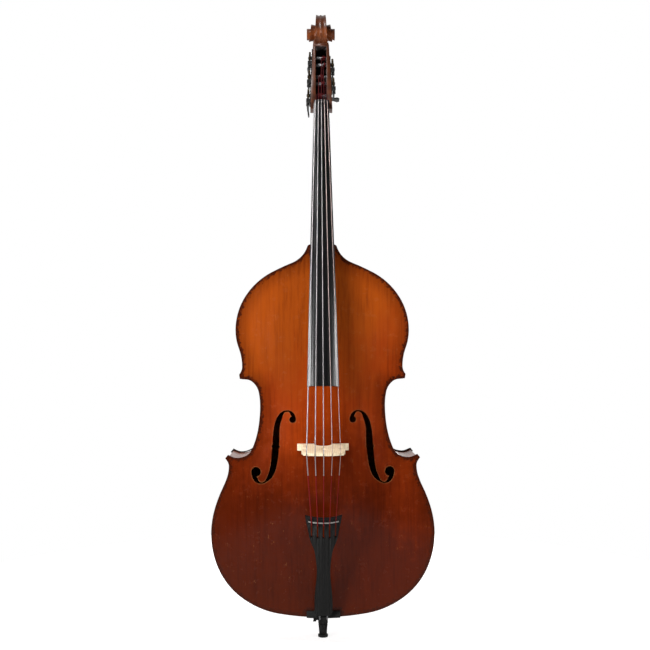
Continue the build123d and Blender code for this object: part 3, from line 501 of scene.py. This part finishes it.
flameLook = {
    "flame": ("Z", 9.0, 3.0, 0.8),
    "pores": (260, 4.0, 0.7),
    "poreTones": [(0.3, (0.55, 0.5, 0.46)), (0.6, (1, 1, 1))],
    "clouds": ((1, 1, 1), 9, 4.0, 0.6),
    "cloudTones": [(0.3, (0.6, 0.56, 0.54)), (0.65, (1.1, 1.08, 1.05))],
    "patches": ((1, 1, 1.6), 6, 3.0, 0.5),
    "patchSpan": (0.35, 0.62, 0.15, 0.85),
    "wear": ((1, 1, 1), 140, 4.0, 0.7),
    "raggedEdge": (0.25, 0.75, -0.0045, 0.0045),
    "wornEdge": (0.004, 0.0085),
    "paintedScrollLightSwing": (-0.012, 0.012),
    "roughSwing": 0.14,
    "hollowRough": 0.85,
    "gloss": 0.28,
    "coatRough": 0.18,
    "bump": (0.25, 0.0005),
}


def makeFlamed(name, look):
    shared = flameLook
    material, tree, shader = newMaterial(name)
    flame = wave(tree, look["flameStretch"], look["flameBands"], *shared["flame"])
    pores = noise(tree, look["poreStretch"], *shared["pores"])
    clouds = noise(tree, *shared["clouds"])
    base = ramp(tree, flame, [(0.1, look["dark"]), (0.55, look["middle"]), (0.95, look["light"])])
    patches = spread(tree, noise(tree, *shared["patches"]), *shared["patchSpan"])
    base = mixed(tree, patches, look["middle"], base)  # the flame comes and goes
    base = mixed(tree, 0.55, base, ramp(tree, pores, shared["poreTones"]), "MULTIPLY")
    base = mixed(tree, 0.6, base, ramp(tree, clouds, shared["cloudTones"]), "MULTIPLY")
    if look["rim"]:
        wear = spread(tree, noise(tree, *shared["wear"]), *shared["raggedEdge"])
        ragged = total(tree, attribute(tree, "rimDistance"), wear)
        base = mixed(tree, fade(tree, ragged, *shared["wornEdge"]), base, varnishLook["edgeColour"])
    # painted highlight: a band below the scroll's eyes is painted paler, for the light on its bulge
    if look.get("paintedScrollLight"):
        low, high, soft, share = look["paintedScrollLight"]
        place = total(tree, placeAlong(tree, "Z"), swing(tree, clouds, *shared["paintedScrollLightSwing"]))
        paintedLightBand = product(tree, spread(tree, place, low - soft, low), fade(tree, place, high, high + soft))
        base = mixed(tree, product(tree, paintedLightBand, share), base, look["paintedScrollLightTone"])
    rough = swing(tree, clouds, look["rough"], look["rough"] + shared["roughSwing"])
    # painted shade: the inside of the pegbox is painted near black and made matt
    if look.get("hollow"):
        inside = shadedHollowMask(tree, look["hollow"])
        base = mixed(tree, inside, base, look["hollow"]["tone"])
        rough = combine(tree, "MAXIMUM", rough, product(tree, inside, shared["hollowRough"]))
    feed(shader, "Base Color", base)
    feed(shader, "Roughness", rough)
    feed(shader, "Specular IOR Level", shared["gloss"])
    feed(shader, "Coat Weight", look["coat"])
    feed(shader, "Coat Roughness", shared["coatRough"])
    bumped(tree, shader, total(tree, pores, product(tree, flame, 0.4)), *shared["bump"])
    return material


backLook = {
    "dark": (0.13, 0.022, 0.002), "middle": (0.18, 0.034, 0.003), "light": (0.25, 0.054, 0.006),
    "flameStretch": (0.5, 0.4, 1), "flameBands": 17, "poreStretch": (1, 1, 0.05),
    "rough": 0.25, "coat": 0.2, "rim": True,
}
ribLook = {
    "dark": (0.13, 0.024, 0.003), "middle": (0.18, 0.036, 0.004), "light": (0.25, 0.056, 0.007),
    "flameStretch": (1, 0.45, 1), "flameBands": 19, "poreStretch": (1, 0.4, 1),
    "rough": 0.26, "coat": 0.18, "rim": False,
}
neckLook = {
    "dark": (0.050, 0.014, 0.005), "middle": (0.072, 0.019, 0.006), "light": (0.098, 0.025, 0.007),
    "flameStretch": (1, 1, 1), "flameBands": 9, "poreStretch": (1, 1, 0.06),
    "rough": 0.34, "coat": 0.1, "rim": False,
    "paintedScrollLight": (1.86, 1.872, 0.02, 0.7),  # painted highlight: the lit front of the scroll's bulge below its eyes is painted a paler orange
    "paintedScrollLightTone": (0.22, 0.052, 0.009),
    # the pegbox's inside, painted near black as painted shade
    "hollow": {
        "nutY": -0.08179, "nutZ": 1.6405, "lean": 0.1658,
        "half": 0.0172, "along": (0.0115, 0.199), "depth": (0.001, 0.047),
        "soft": 0.0005, "softSide": 0.0003, "tone": (0.009, 0.004, 0.003),
    },
}
ebonyLook = {
    "streaks": ((1, 1, 0.03), 210, 5.0, 0.7),
    "smears": ((1, 1, 0.25), 26, 4.0, 0.6),
    "darkShare": 0.55,
    "roughSwing": 0.12,
    "bump": (0.2, 0.0003),
}
bareWoodLook = {
    "ringStretch": (1, 1, 0.03),
    "rings": ("X", 4.0, 3.0, 0.5),
    "flecks": ((0.35, 1, 1), 330, 4.0, 0.7),
    "fleckTones": [(0.36, (0.74, 0.66, 0.56)), (0.52, (1, 1, 1))],
    "clouds": ((1, 1, 1), 24, 4.0, 0.6),
    "cloudTones": [(0.3, (0.82, 0.78, 0.72)), (0.65, (1.04, 1.03, 1.0))],
    "bump": (0.25, 0.0004),
}
metalLook = {
    "smears": (5.0, 0.65),
    "scratches": ((1, 0.15, 1), 900, 3.0, 0.6),
    "roughSwing": 0.14,
    "bump": (0.12, 0.0002),
}


def makeEbony(name, tone, rough, gloss):
    look = ebonyLook
    material, tree, shader = newMaterial(name)
    streaks = noise(tree, *look["streaks"])
    smears = noise(tree, *look["smears"])
    dark = tuple(value * look["darkShare"] for value in tone)
    feed(shader, "Base Color", ramp(tree, streaks, [(0.3, dark), (0.62, tone)]))
    feed(shader, "Roughness", swing(tree, smears, rough, rough + look["roughSwing"]))
    feed(shader, "Specular IOR Level", gloss)
    bumped(tree, shader, streaks, *look["bump"])
    return material


def makeBareWood(name, light, dark, bands, rough):
    look = bareWoodLook
    material, tree, shader = newMaterial(name)
    rings = wave(tree, look["ringStretch"], bands, *look["rings"])
    flecks = noise(tree, *look["flecks"])
    clouds = noise(tree, *look["clouds"])
    base = ramp(tree, rings, [(0.1, dark), (0.6, light)])
    base = mixed(tree, 0.5, base, ramp(tree, flecks, look["fleckTones"]), "MULTIPLY")
    base = mixed(tree, 0.5, base, ramp(tree, clouds, look["cloudTones"]), "MULTIPLY")
    feed(shader, "Base Color", base)
    feed(shader, "Roughness", rough)
    bumped(tree, shader, flecks, *look["bump"])
    return material


def makeMetal(name, colour, rough, metallic, wearScale, darkShare):
    look = metalLook
    material, tree, shader = newMaterial(name)
    smears = noise(tree, (1, 1, 1), wearScale, *look["smears"])
    scratches = noise(tree, *look["scratches"])
    dark = tuple(value * darkShare for value in colour)
    feed(shader, "Base Color", ramp(tree, smears, [(0.32, dark), (0.6, colour)]))
    feed(shader, "Roughness", swing(tree, smears, rough + look["roughSwing"], rough))
    feed(shader, "Metallic", metallic)
    bumped(tree, shader, scratches, *look["bump"])
    return material


stringLook = {
    "lowerSilk": 0.53,  # the silk starts here below the bridge
    "upperSilk": 1.652,  # and here above the nut
    "soft": 0.0005,
    "windings": ((1, 1, 1), 420, "Z", 0.4, 1.0, 2.0),
    "threads": ((1, 1, 1), 500, "DIAGONAL", 0.6, 1.0, 2.0),
    "silk": (0.23, 0.008, 0.008),
    "silkDark": (0.09, 0.002, 0.003),
    "silkInShade": (0.035, 0.0012, 0.002),
    "steel": (0.48, 0.45, 0.46),
    "warmSteel": (0.52, 0.40, 0.38),
    "darkShare": 0.55,
    "steelRough": 0.34,
    "silkRough": 0.85,
    "threadRough": 0.8,
    "pegboxShadeShare": 0.85,  # how far the silk above the nut, in the pegbox, is painted towards its shaded tone as painted shade
    "gloss": 0.2,
    "bump": (0.3, 0.0002),
}


def makeStringFinish(name, steel):
    look = stringLook
    material, tree, shader = newMaterial(name)
    place = placeAlong(tree, "Z")
    lower = fade(tree, place, look["lowerSilk"] - look["soft"], look["lowerSilk"] + look["soft"])
    upper = spread(tree, place, look["upperSilk"] - look["soft"], look["upperSilk"] + look["soft"])
    silk = combine(tree, "MAXIMUM", lower, upper)
    turns = wave(tree, *look["windings"])
    darkSteel = tuple(value * look["darkShare"] for value in steel)
    metalTone = ramp(tree, turns, [(0.1, darkSteel), (0.6, steel)])
    silkTone = ramp(tree, turns, [(0.1, look["silkDark"]), (0.6, look["silk"])])
    # painted shade: the silk above the nut, inside the pegbox, is painted darker than the same silk below
    # the bridge
    silkTone = mixed(tree, product(tree, upper, look["pegboxShadeShare"]), silkTone, look["silkInShade"])
    feed(shader, "Base Color", mixed(tree, silk, metalTone, silkTone))
    feed(shader, "Metallic", fade(tree, silk, 0.0, 1.0))
    feed(shader, "Roughness", spread(tree, silk, 0.0, 1.0, look["steelRough"], look["silkRough"]))
    feed(shader, "Specular IOR Level", look["gloss"])
    bumped(tree, shader, turns, *look["bump"])
    return material


def makeSilk():
    look = stringLook
    material, tree, shader = newMaterial("shaded_silk_thread")
    threads = wave(tree, *look["threads"])
    # the windings on the rollers take the shaded silk tones, painted shade for the pegbox
    feed(shader, "Base Color", ramp(tree, threads, [(0.1, look["silkInShade"]), (0.6, look["silkDark"])]))
    feed(shader, "Roughness", look["threadRough"])
    feed(shader, "Specular IOR Level", look["gloss"])
    bumped(tree, shader, threads, *look["bump"])
    return material


rubberLook = {
    "dust": ((1, 1, 1), 120, 5.0, 0.65),
    "tones": [(0.35, (0.004, 0.004, 0.004)), (0.75, (0.016, 0.015, 0.014))],
    "rough": (0.5, 0.75),
    "bump": (0.3, 0.0004),
}


def makeFootRubber(look):
    material, tree, shader = newMaterial("foot_rubber_finish")
    dust = noise(tree, *look["dust"])
    feed(shader, "Base Color", ramp(tree, dust, look["tones"]))
    feed(shader, "Roughness", swing(tree, dust, *look["rough"]))
    bumped(tree, shader, dust, *look["bump"])
    return material


frontVarnish = makeFrontVarnish(varnishLook)
backVarnish = makeFlamed("back_varnish_finish", backLook)
ribVarnish = makeFlamed("rib_varnish_finish", ribLook)
neckStainAndPaintedLight = makeFlamed("neck_stain_and_painted_light_finish", neckLook)
# the tone, roughness and gloss
boardEbony = makeEbony("fingerboard_ebony", (0.0065, 0.0065, 0.007), 0.16, 0.55)
fittingEbony = makeEbony("fitting_ebony", (0.010, 0.010, 0.0095), 0.5, 0.15)
# the light tone, dark tone, scale of the rings and roughness
bridgeWood = makeBareWood("bridge_wood", (0.90, 0.77, 0.55), (0.78, 0.62, 0.41), 60, 0.5)
innerWood = makeBareWood("inner_wood", (0.42, 0.24, 0.11), (0.27, 0.14, 0.06), 110, 0.75)
inlayBone = makeBareWood("fret_inlay", (0.30, 0.29, 0.28), (0.2, 0.19, 0.18), 90, 0.4)
# the colour, roughness, metallic share, scale of the wear and share of the colour left in it
blackIron = makeMetal("black_iron", (0.035, 0.034, 0.033), 0.36, 0.85, 90, 0.4)
wheelBrass = makeMetal("wheel_brass", (0.085, 0.062, 0.036), 0.4, 1.0, 80, 0.35)
pinSteel = makeMetal("pin_steel", (0.5, 0.5, 0.5), 0.25, 1.0, 60, 0.6)
wireSteel = makeMetal("wire_steel_finish", (0.32, 0.32, 0.33), 0.35, 1.0, 60, 0.5)
coolSteel = makeStringFinish("string_winding_cool", stringLook["steel"])
warmSteel = makeStringFinish("string_winding_warm", stringLook["warmSteel"])
shadedSilkThread = makeSilk()
footRubber = makeFootRubber(rubberLook)
print("finishes ready")


# the two plates

plateLook = {
    "cuts": 1,
    "angle": 35,
    "cell": 0.006,
    "calming": 14,
    "filling": 400,
    "outside": 0.8,  # a face looks this much outwards to count as the arch
    "flatFrom": 0.45,  # and this much to lie inside the sharp line round it
    "castFrom": 0.5,
    "castReach": 0.55,
    "shallowest": 0.03,
    "holeBand": (0.40, 0.75),
    "holeReach": 0.235,
    "cornerGap": 0.02,
}


def calmNormals(piece, facing):
    # the arch is read off on an even grid and smoothed, and the outside face takes its normals from there
    look = plateLook
    mesh = piece.data
    surface = BVHTree.FromPolygons([v.co for v in mesh.vertices], [p.vertices for p in mesh.polygons])
    low = Vector([min(v.co[i] for v in mesh.vertices) for i in range(3)])
    high = Vector([max(v.co[i] for v in mesh.vertices) for i in range(3)])
    cell = look["cell"]
    columns, rows = int((high.x - low.x) / cell) + 3, int((high.z - low.z) / cell) + 3
    heights = np.full((columns, rows), np.nan)
    for i in range(columns):
        for j in range(rows):
            start = Vector((low.x + (i - 1) * cell, facing * look["castFrom"], low.z + (j - 1) * cell))
            hit = surface.ray_cast(start, Vector((0, -facing, 0)), look["castReach"])[0]
            if hit and facing * hit.y > look["shallowest"]:
                heights[i, j] = hit.y
    known = ~np.isnan(heights)
    filled = np.where(known, heights, 0.0)
    weight = known.astype(float)
    for _ in range(look["filling"]):  # the holes and the outside fill from their neighbours
        if weight.min() > 0:
            break
        around = sum(np.roll(filled * weight, shift, axis) for shift in (1, -1) for axis in (0, 1))
        count = sum(np.roll(weight, shift, axis) for shift in (1, -1) for axis in (0, 1))
        reached = (weight == 0) & (count > 0)
        filled[reached] = around[reached] / count[reached]
        weight[reached] = 1.0
    for _ in range(look["calming"]):
        padded = np.pad(filled, 1, mode="edge")
        beside = padded[:-2, 1:-1] + padded[2:, 1:-1] + padded[1:-1, :-2] + padded[1:-1, 2:]
        filled = (beside + 2 * filled) / 6
    slopeX, slopeZ = np.gradient(filled, cell)
    corners = [Vector(corner.vector) for corner in mesh.corner_normals]
    for polygon in mesh.polygons:
        if polygon.normal.y * facing < look["outside"]:
            continue
        for loop in polygon.loop_indices:
            point = mesh.vertices[mesh.loops[loop].vertex_index].co
            x, z = (point.x - low.x) / cell + 1, (point.z - low.z) / cell + 1
            i, j = min(int(x), columns - 2), min(int(z), rows - 2)
            u, v = x - i, z - j
            sides = []
            for slope in (slopeX, slopeZ):
                near = slope[i, j] * (1 - v) + slope[i, j + 1] * v
                far = slope[i + 1, j] * (1 - v) + slope[i + 1, j + 1] * v
                sides.append(near * (1 - u) + far * u)
            corners[loop] = Vector((-facing * sides[0], facing, -facing * sides[1])).normalized()
    mesh.normals_split_custom_set([tuple(corner) for corner in corners])


def walkBoundary(mesh, facing):
    # the sharp line between the outside face and the walls round it
    flat = [polygon.normal.y * facing > plateLook["flatFrom"] for polygon in mesh.polygons]
    owners = {}
    for polygon in mesh.polygons:
        for key in polygon.edge_keys:
            owners.setdefault(key, []).append(polygon.index)
    return [key for key, used in owners.items() if len(used) == 2 and flat[used[0]] != flat[used[1]]]


def bodyReach(height):
    # half width of the body at this height, from the ribs
    lowest, highest = ribSpans["middle"]
    return ribReach["middle"] if lowest < height < highest else ribReach["lower"]


def measureEdges(mesh, facing):
    # each point keeps its distance from the rim and from the sound holes, for the varnish to read
    rimPoints, holePoints = [], []
    lowest, highest = plateLook["holeBand"]
    for first, second in walkBoundary(mesh, facing):
        start, end = mesh.vertices[first].co, mesh.vertices[second].co
        middle = (start + end) / 2
        reach = min(plateLook["holeReach"], bodyReach(middle.z) - plateLook["cornerGap"])
        inHole = facing < 0 and lowest < middle.z < highest and abs(middle.x) < reach
        for share in (0.0, 0.25, 0.5, 0.75):
            (holePoints if inHole else rimPoints).append(start.lerp(end, share))
    for attributeName, points in (("rimDistance", rimPoints), ("holeDistance", holePoints)):
        layer = mesh.attributes.new(attributeName, "FLOAT", "POINT")
        if not points:
            continue
        tree = KDTree(len(points))
        for index, point in enumerate(points):
            tree.insert((point.x, 0.0, point.z), index)
        tree.balance()
        for vertex in mesh.vertices:
            layer.data[vertex.index].value = tree.find((vertex.co.x, 0.0, vertex.co.z))[2]


def finishPlate(nodeName, pieceName, facing, material):
    piece = mergedCopy(nodeName, pieceName)
    bpy.ops.object.mode_set(mode="EDIT")
    bpy.ops.mesh.select_mode(type="FACE")
    bpy.ops.mesh.select_all(action="SELECT")
    bpy.ops.mesh.subdivide(number_cuts=plateLook["cuts"])
    bpy.ops.object.mode_set(mode="OBJECT")
    measureEdges(piece.data, facing)
    smooth(piece, plateLook["angle"])
    calmNormals(piece, facing)
    dress(piece, material)
    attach(piece, "bass_body")
    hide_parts(nodeName)


ribSpans, ribReach = {}, {}
for part in ("lower", "middle", "upper"):
    lowCorner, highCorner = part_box(part + "_rib_treble")
    ribSpans[part] = (lowCorner.z, highCorner.z)
    ribReach[part] = lowCorner.x if part == "middle" else highCorner.x

finishPlate("front_plate", "spruce_front", -1, frontVarnish)
finishPlate("back_plate", "maple_back", 1, backVarnish)
print("plates done")


# pieces that keep their CAD shape
# after the finish comes the angle of the smooth shading, and then the width of the softened edges

for part in ("lower", "middle", "upper"):
    for side in ("bass", "treble"):
        nodeName = part + "_rib_" + side
        finishCad(nodeName, "maple_" + nodeName, "bass_body", ribVarnish)
finishCad("neck", "carved_neck", "bass_body", neckStainAndPaintedLight, 40)
finishCad("fingerboard", "ebony_fingerboard", "bass_body", boardEbony, 30, 0.0006)
finishCad("nut", "ebony_nut", "bass_body", fittingEbony, 30)
finishCad("bridge", "maple_bridge", "bass_body", bridgeWood, 30)
finishCad("saddle", "ebony_saddle", "bass_body", fittingEbony, 30, 0.0006)
finishCad("tailpiece", "ebony_tailpiece", "bass_body", fittingEbony, 30)
finishCad("tailpiece_fret", "inlaid_fret", "bass_body", inlayBone, 40, 0.0004)
finishCad("tail_wire", "twisted_tail_wire", "bass_body", wireSteel, 60)
finishCad("endpin_plug", "ebony_plug", "bass_body", fittingEbony, 35, 0.0006)
finishCad("endpin_ferrule", "iron_ferrule", "bass_body", blackIron, 35, 0.0006)
finishCad("endpin_rod", "steel_rod", "endpin", pinSteel, 35, 0.0005)
finishCad("endpin_thumbscrew", "wing_screw", "thumbscrew", blackIron, 35, 0.0008)
finishCad("tuner_plates", "machine_plates", "bass_body", blackIron, 35, 0.0006)
for name in stringNames:
    winding = warmSteel if name in "dg" else coolSteel
    finishCad("string_" + name, "wound_string_" + name, "bass_body", winding, 60)
    finishCad("tuner_" + name + "_roller", "roller_" + name, "roller_" + name, wireSteel, 35)
    finishCad("tuner_" + name + "_gear", "gear_" + name, "roller_" + name, wheelBrass, 30)
    finishCad("tuner_" + name + "_key", "key_" + name, "key_" + name, blackIron, 35, 0.0008)
for nodeName in (
    "front_linings", "back_linings", "upper_corner_blocks", "lower_corner_blocks",
    "neck_block", "end_block", "bass_bar", "sound_post",
):
    cadNodes[nodeName].material_slots[0].material = innerWood
print("carried over pieces done")


# the tuning machines

machineLook = {
    "rollerRadius": 0.006,
    "threads": {  # radius of the thread, its turns, and the way it runs from its string
        "b": (0.0016, 4, 1),
        "e": (0.0014, 4, 1),
        "a": (0.0012, 4, 1),
        "d": (0.001, 3, 1),
        "g": (0.00085, 5, -1),
    },
    "threadGap": 2.06,  # from turn to turn, in radii of the thread
    "endDepth": 0.003,
    "coilSteps": 22,
    "wormPitch": 2 * pi * 0.0177 / 20,
    "wormRidge": 0.0014,
    "wormMiddle": 0.0039,
    "wormTurns": 3,
    "wormSides": 6,
    "smoothScrew": 30,
    "smoothWorm": 50,
    "smoothWinding": 60,
}
screwLook = {
    "plate": (0.0028, 0.0014),  # radius and height
    "gear": (0.0046, 0.002),
    "places": ((0.0205, 0.0115), (0.0205, -0.0115), (-0.0302, 0.0075), (-0.0302, -0.0075)),
    "plateFace": 0.0025,
    "gearFace": 0.0114,
    "sides": 20,
    "dome": 0.5,
    "domeSteps": 3,
    "slotHalf": 0.15,  # in shares of the radius, and the depth in shares of the height
    "slotDepth": 0.45,
    "domeTop": 0.9,
    "nextScrew": 0.7,  # how far each slot is turned on from the last, in radians
    "nextMachine": 0.4,
}


def coil(pieceName, middleRadius, threadRadius, pitch, turns, sides=8, startTurn=0.0):
    # a thread round the Z axis, rising from zero
    bpy.ops.object.select_all(action="DESELECT")
    bpy.ops.mesh.primitive_circle_add(
        vertices=sides, radius=threadRadius, location=(middleRadius, 0, 0), rotation=(radians(90), 0, 0)
    )
    piece = bpy.context.object
    piece.name = pieceName
    bpy.ops.object.transform_apply(location=True, rotation=True, scale=True)
    turned = piece.modifiers.new("thread", "SCREW")
    turned.axis = "Z"
    turned.angle = 2 * pi
    turned.screw_offset = pitch
    turned.iterations = turns
    turned.steps = machineLook["coilSteps"]
    turned.render_steps = machineLook["coilSteps"]
    turned.use_merge_vertices = False
    applyModifiers(piece)
    bpy.ops.object.mode_set(mode="EDIT")
    bpy.ops.mesh.select_all(action="SELECT")
    bpy.ops.mesh.fill_holes(sides=sides)
    bpy.ops.mesh.select_all(action="SELECT")
    bpy.ops.mesh.normals_make_consistent(inside=False)
    bpy.ops.object.mode_set(mode="OBJECT")
    piece.data.transform(Matrix.Rotation(startTurn, 4, "Z"))
    return piece


def basis(origin, xAxis, zAxis):
    zAxis = zAxis.normalized()
    xAxis = (xAxis - zAxis * xAxis.dot(zAxis)).normalized()
    turn = Matrix((xAxis, zAxis.cross(xAxis), zAxis)).transposed()
    return Matrix.Translation(origin) @ turn.to_4x4()


def machinePlane(name):
    # out from the cheek along Z, and from the worm to the roller along X
    roller, key = joints["roller_" + name + "_turn"], joints["key_" + name + "_turn"]
    origin, outward, worm = Vector(roller["pos_m"]), Vector(roller["axis"]), Vector(key["pos_m"])
    return basis(origin, origin - worm, outward), worm, Vector(key["axis"])


def makeScrew(pieceName, radius, height):
    look = screwLook
    slotHalf = radius * look["slotHalf"]
    bpy.ops.object.select_all(action="DESELECT")
    bpy.ops.mesh.primitive_cylinder_add(
        vertices=look["sides"], radius=radius, depth=height, location=(0, 0, height / 2)
    )
    piece = bpy.context.object
    piece.name = pieceName
    bpy.ops.object.transform_apply(location=True, rotation=True, scale=True)
    pickFaces(piece, lambda face: face.normal.z > level)
    bpy.ops.mesh.bevel(offset=height * look["dome"], segments=look["domeSteps"], affect="EDGES")
    for side in (-1, 1):
        bpy.ops.mesh.select_all(action="SELECT")
        bpy.ops.mesh.bisect(plane_co=(side * slotHalf, 0, 0), plane_no=(1, 0, 0))
    bpy.ops.object.mode_set(mode="OBJECT")

    lowest = height * look["domeTop"]
    pickFaces(piece, lambda face: (
        face.normal.z > level and abs(face.center.x) < slotHalf and face.center.z > lowest
    ))
    bpy.ops.mesh.extrude_region_move(TRANSFORM_OT_translate={"value": (0, 0, -height * look["slotDepth"])})
    bpy.ops.object.mode_set(mode="OBJECT")
    return piece


def placedCopy(piece, pieceName, matrix):
    pickOnly(piece)
    bpy.ops.object.duplicate()
    copy = bpy.context.object
    copy.name = pieceName
    copy.data.transform(matrix)
    return copy


def windingStart(name, plane, threadRadius, way):
    # on the roller's axis, one thread beside the string's end
    stringMesh = cadNodes["string_" + name].data
    top = max(vertex.co.z for vertex in stringMesh.vertices)
    lowest = top - machineLook["endDepth"]
    ends = [vertex.co.x for vertex in stringMesh.vertices if vertex.co.z > lowest]
    endPlace = sum(ends) / len(ends)
    outward, origin = plane.to_3x3().col[2], plane.translation
    along = outward * (way if outward.x > 0 else -way)
    beside = machineLook["threadGap"] * threadRadius * along
    return origin + outward * ((endPlace - origin.x) / outward.x) + beside, along


plateScrew = makeScrew("plate_screw_model", *screwLook["plate"])
gearScrew = makeScrew("gear_screw_model", *screwLook["gear"])
plateScrews = []
for machine, name in enumerate(stringNames):
    plane, wormCentre, wormAxis = machinePlane(name)
    for number, (along, across) in enumerate(screwLook["places"]):
        shift = Matrix.Translation((along, across, screwLook["plateFace"]))
        angle = screwLook["nextScrew"] * number + screwLook["nextMachine"] * machine
        turn = Matrix.Rotation(angle, 4, "Z")
        plateScrews.append(placedCopy(plateScrew, "plate_screw", plane @ shift @ turn))
    shift = Matrix.Translation((0, 0, screwLook["gearFace"]))
    centreScrew = placedCopy(gearScrew, "gear_screw_" + name, plane @ shift)
    smooth(centreScrew, machineLook["smoothScrew"])
    dress(centreScrew, blackIron)
    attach(centreScrew, "roller_" + name)

    pitch, wormTurns = machineLook["wormPitch"], machineLook["wormTurns"]
    worm = coil(
        "worm_thread_" + name, machineLook["wormMiddle"], machineLook["wormRidge"],
        pitch, wormTurns, machineLook["wormSides"], pi,
    )
    centred = Matrix.Translation((0, 0, -pitch * wormTurns / 2))
    worm.data.transform(basis(wormCentre, plane.to_3x3().col[0], wormAxis) @ centred)
    smooth(worm, machineLook["smoothWorm"])
    dress(worm, blackIron)
    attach(worm, "key_" + name)

    threadRadius, turns, way = machineLook["threads"][name]
    start, along = windingStart(name, plane, threadRadius, way)
    wound = coil(
        "silk_winding_" + name, machineLook["rollerRadius"] + threadRadius, threadRadius,
        machineLook["threadGap"] * threadRadius, turns,
    )
    wound.data.transform(basis(start, Vector((0, -1, 0)), along))
    smooth(wound, machineLook["smoothWinding"])
    dress(wound, shadedSilkThread)
    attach(wound, "roller_" + name)

pickOnly(*plateScrews)
bpy.ops.object.join()
screws = bpy.context.object
screws.name = "machine_screws"
smooth(screws, machineLook["smoothScrew"])
dress(screws, pinSteel)
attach(screws, "bass_body")
bpy.data.objects.remove(plateScrew)
bpy.data.objects.remove(gearScrew)
print("machines done")


# the rubber foot

footLook = {
    "flutes": 24,
    "fluteDepth": 0.0009,
    "land": 0.0003,
    "flare": 0.0085,
    "flareReach": 0.0035,
    "topEdge": 0.0012,
    "topSteps": 3,
    "ringDrop": 0.0015,
    "ringHeight": 0.0055,
    "soleShare": 0.95,
    "smooth": 40,
    "manySides": 8,  # the two ends have more sides than this
}


def makeFoot():
    look = footLook
    low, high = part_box("endpin_foot")
    reach = (high.x - low.x) / 2
    body = reach - look["flareReach"]
    sides = look["manySides"]
    bpy.ops.object.select_all(action="DESELECT")
    bpy.ops.mesh.primitive_cylinder_add(
        vertices=2 * look["flutes"], radius=body, depth=high.z - look["flare"],
        location=(0, 0, (high.z + look["flare"]) / 2),
    )
    foot = bpy.context.object
    foot.name = "fluted_foot"
    bpy.ops.object.transform_apply(location=True, rotation=True, scale=True)
    pickFaces(foot, lambda face: abs(face.normal.z) < upright and face.index % 2 == 0)
    bpy.ops.mesh.inset(thickness=look["land"], use_individual=True)
    bpy.ops.transform.shrink_fatten(value=-look["fluteDepth"])
    bpy.ops.object.mode_set(mode="OBJECT")
    pickFaces(foot, lambda face: face.normal.z > level and len(face.vertices) > sides)
    bpy.ops.mesh.bevel(offset=look["topEdge"], segments=look["topSteps"], affect="EDGES")
    bpy.ops.object.mode_set(mode="OBJECT")
    pickFaces(foot, lambda face: face.normal.z < -level and len(face.vertices) > sides)
    ringDrop = look["ringDrop"]
    for drop, scale in ((ringDrop, reach / body), (look["ringHeight"], 1.0), (ringDrop, look["soleShare"])):
        bpy.ops.mesh.extrude_region_move(TRANSFORM_OT_translate={"value": (0, 0, -drop)})
        bpy.ops.transform.resize(value=(scale, scale, 1), center_override=(0, 0, 0))
    bpy.ops.object.mode_set(mode="OBJECT")
    smooth(foot, look["smooth"])
    dress(foot, footRubber)
    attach(foot, "endpin")
    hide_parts("endpin_foot")


makeFoot()
print("foot done")
